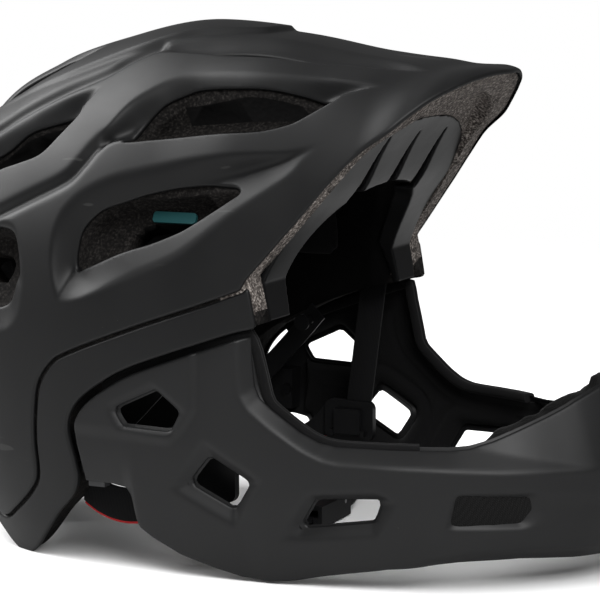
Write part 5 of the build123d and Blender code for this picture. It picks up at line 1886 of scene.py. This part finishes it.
# Studio
@dataclass(frozen=True)
class Lamp:
    """Soft square lamp that points at the helmet."""

    name: str
    place: tuple[float, float, float]
    size: float
    power: float
    floor_only: bool = False

    def build(self) -> None:
        """Hang the lamp."""
        data = bpy.data.lights.new(self.name, "AREA")
        data.shape = "SQUARE"
        data.size = self.size
        data.energy = self.power
        lamp = bpy.data.objects.new(self.name, data)
        bpy.context.scene.collection.objects.link(lamp)
        aim = (Vector((0, 0, 0.12)) - Vector(self.place)).to_track_quat("-Z", "Y")
        lamp.matrix_world = Matrix.Translation(self.place) @ aim.to_matrix().to_4x4()
        if self.floor_only:
            only = bpy.data.collections.new("floor_only")
            only.objects.link(bpy.data.objects["floor"])
            lamp.light_linking.receiver_collection = only


LAMPS = (
    Lamp("lamp_top", (-1.3, -0.2, 1.3), 1.3, 50.0),
    Lamp("lamp_front", (1.05, -1.0, 1.4), 1.0, 29.0),
    Lamp("lamp_floor", (-0.15, -0.6, 1.5), 1.1, 20.0, True),
)


@dataclass
class Studio:
    """Plain pale floor, backdrop, soft lamps and the camera."""

    target: tuple[float, float, float] = (0.007, 0.0, 0.112)
    azimuth: float = 25.0
    elevation: float = 8.0
    distance: float = 1.167
    lens: float = 151.2
    floor_radius: float = 1.3
    floor_seen: tuple[float, float, float] = (0.955, 0.955, 0.955)
    floor_bounce: tuple[float, float, float] = (0.36, 0.36, 0.36)
    fill_light: float = 0.52
    mirrored_light: float = 0.13

    def build(self) -> None:
        """Build the camera, floor, world and lamps."""
        self._camera()
        self._floor()
        self._world()
        for lamp in LAMPS:
            lamp.build()

    def _camera(self) -> None:
        """Place the camera at the photograph's viewing angle."""
        a, e = math.radians(self.azimuth), math.radians(self.elevation)
        back = Vector((math.sin(a) * math.cos(e), -math.cos(a) * math.cos(e), math.sin(e)))
        right = Vector((math.cos(a), math.sin(a), 0))
        up = back.cross(right)
        data = bpy.data.cameras.new("camera")
        data.lens = self.lens
        data.sensor_width = 36.0
        data.clip_start = 0.05
        camera = bpy.data.objects.new("camera", data)
        bpy.context.scene.collection.objects.link(camera)
        place = Vector(self.target) + back * self.distance
        turn = Matrix((right, up, back)).transposed().to_4x4()
        camera.matrix_world = Matrix.Translation(place) @ turn
        bpy.context.scene.camera = camera

    def _floor(self) -> None:
        """Lay a white floor that keeps the soft shadow and fades out far away."""
        deselect_all()
        bpy.ops.mesh.primitive_circle_add(vertices=96, radius=self.floor_radius, fill_type="NGON",
                                          location=(0, 0, 0))
        floor = bpy.context.object
        floor.name = "floor"
        material, tree, shader = start_material("floor_white")
        path = tree.nodes.new("ShaderNodeLightPath")
        colour = mix_colours(tree, path.outputs["Is Camera Ray"], self.floor_bounce, self.floor_seen)
        tree.links.new(colour, shader.inputs["Base Color"])
        shader.inputs["Roughness"].default_value = 0.35
        shader.inputs["Specular IOR Level"].default_value = 0.25
        where = tree.nodes.new("ShaderNodeTexCoord")
        reach = tree.nodes.new("ShaderNodeVectorMath")
        reach.operation = "LENGTH"
        fade = tree.nodes.new("ShaderNodeMapRange")
        fade.inputs["From Min"].default_value = self.floor_radius * 0.4
        fade.inputs["From Max"].default_value = self.floor_radius * 0.95
        clear = tree.nodes.new("ShaderNodeBsdfTransparent")
        mix = tree.nodes.new("ShaderNodeMixShader")
        tree.links.new(where.outputs["Object"], reach.inputs[0])
        tree.links.new(reach.outputs["Value"], fade.inputs["Value"])
        tree.links.new(fade.outputs[0], mix.inputs["Fac"])
        tree.links.new(shader.outputs[0], mix.inputs[1])
        tree.links.new(clear.outputs[0], mix.inputs[2])
        tree.links.new(mix.outputs[0], tree.nodes["Material Output"].inputs["Surface"])
        floor.data.materials.append(material)

    def _world(self) -> None:
        """White surroundings for the camera and the floor, dimmer ones in reflections."""
        world = bpy.context.scene.world or bpy.data.worlds.new("world")
        bpy.context.scene.world = world
        world.use_nodes = True
        tree = world.node_tree
        tree.nodes.clear()
        out = tree.nodes.new("ShaderNodeOutputWorld")
        path = tree.nodes.new("ShaderNodeLightPath")
        last = self._background(tree, self.fill_light)
        for output, strength in (("Is Glossy Ray", self.mirrored_light),
                                 ("Is Transmission Ray", 1.0), ("Is Camera Ray", 1.0)):
            seen = self._background(tree, strength)
            mix = tree.nodes.new("ShaderNodeMixShader")
            tree.links.new(path.outputs[output], mix.inputs["Fac"])
            tree.links.new(last.outputs[0], mix.inputs[1])
            tree.links.new(seen.outputs[0], mix.inputs[2])
            last = mix
        tree.links.new(last.outputs[0], out.inputs["Surface"])

    @staticmethod
    def _background(tree: bpy.types.NodeTree, strength: float) -> bpy.types.Node:
        """Add a white background of one strength."""
        node = tree.nodes.new("ShaderNodeBackground")
        node.inputs["Color"].default_value = (1, 1, 1, 1)
        node.inputs["Strength"].default_value = strength
        return node


BLACKED = ("cam_pins", "latch_screws", "housing_screws")


def dress_nodes(finishes: Finishes) -> None:
    """Give every CAD node that stays its finish."""
    by_slot = {
        "shell_black": finishes.guard, "foam_grey": finishes.foam, "trim_gloss": finishes.trim,
        "hardware_black": finishes.nylon, "button_grey": finishes.button,
        "tab_teal": finishes.tab, "pad_fabric": finishes.padding, "webbing": finishes.webbing,
        "steel": finishes.steel}
    slots = {entry["node"]: entry["material_slot"] for entry in frame["record"]["subparts"]}
    for node, piece in frame["nodes"].items():
        material = finishes.dark_steel if node in BLACKED else by_slot[slots[node]]
        for k in range(len(piece.material_slots)):
            piece.material_slots[k].material = material


def main() -> None:
    """Build the helmet's visual model and the studio."""
    logging.basicConfig(level=logging.INFO, format="%(message)s")
    bpy.context.scene.view_settings.view_transform = "Standard"
    Studio().build()
    finishes = Finishes()
    dress_nodes(finishes)
    shells = Shells(finishes)
    shells.build()
    Foam(finishes, shells).build()
    guard = ChinGuard(finishes, shells.sides, GuardForm())
    guard.build()
    GuardPads(finishes, guard).build()
    for pad in SOFT_PADS:
        pad.build(finishes.mesh_cloth if pad.node == "chin_pad" else finishes.padding)
    Straps(finishes).build()
    SoftMoulding("brow_trim", "helmet", "trim_gloss", 0.0007, 4).build(finishes.trim)


if __name__ == "__main__":
    main()
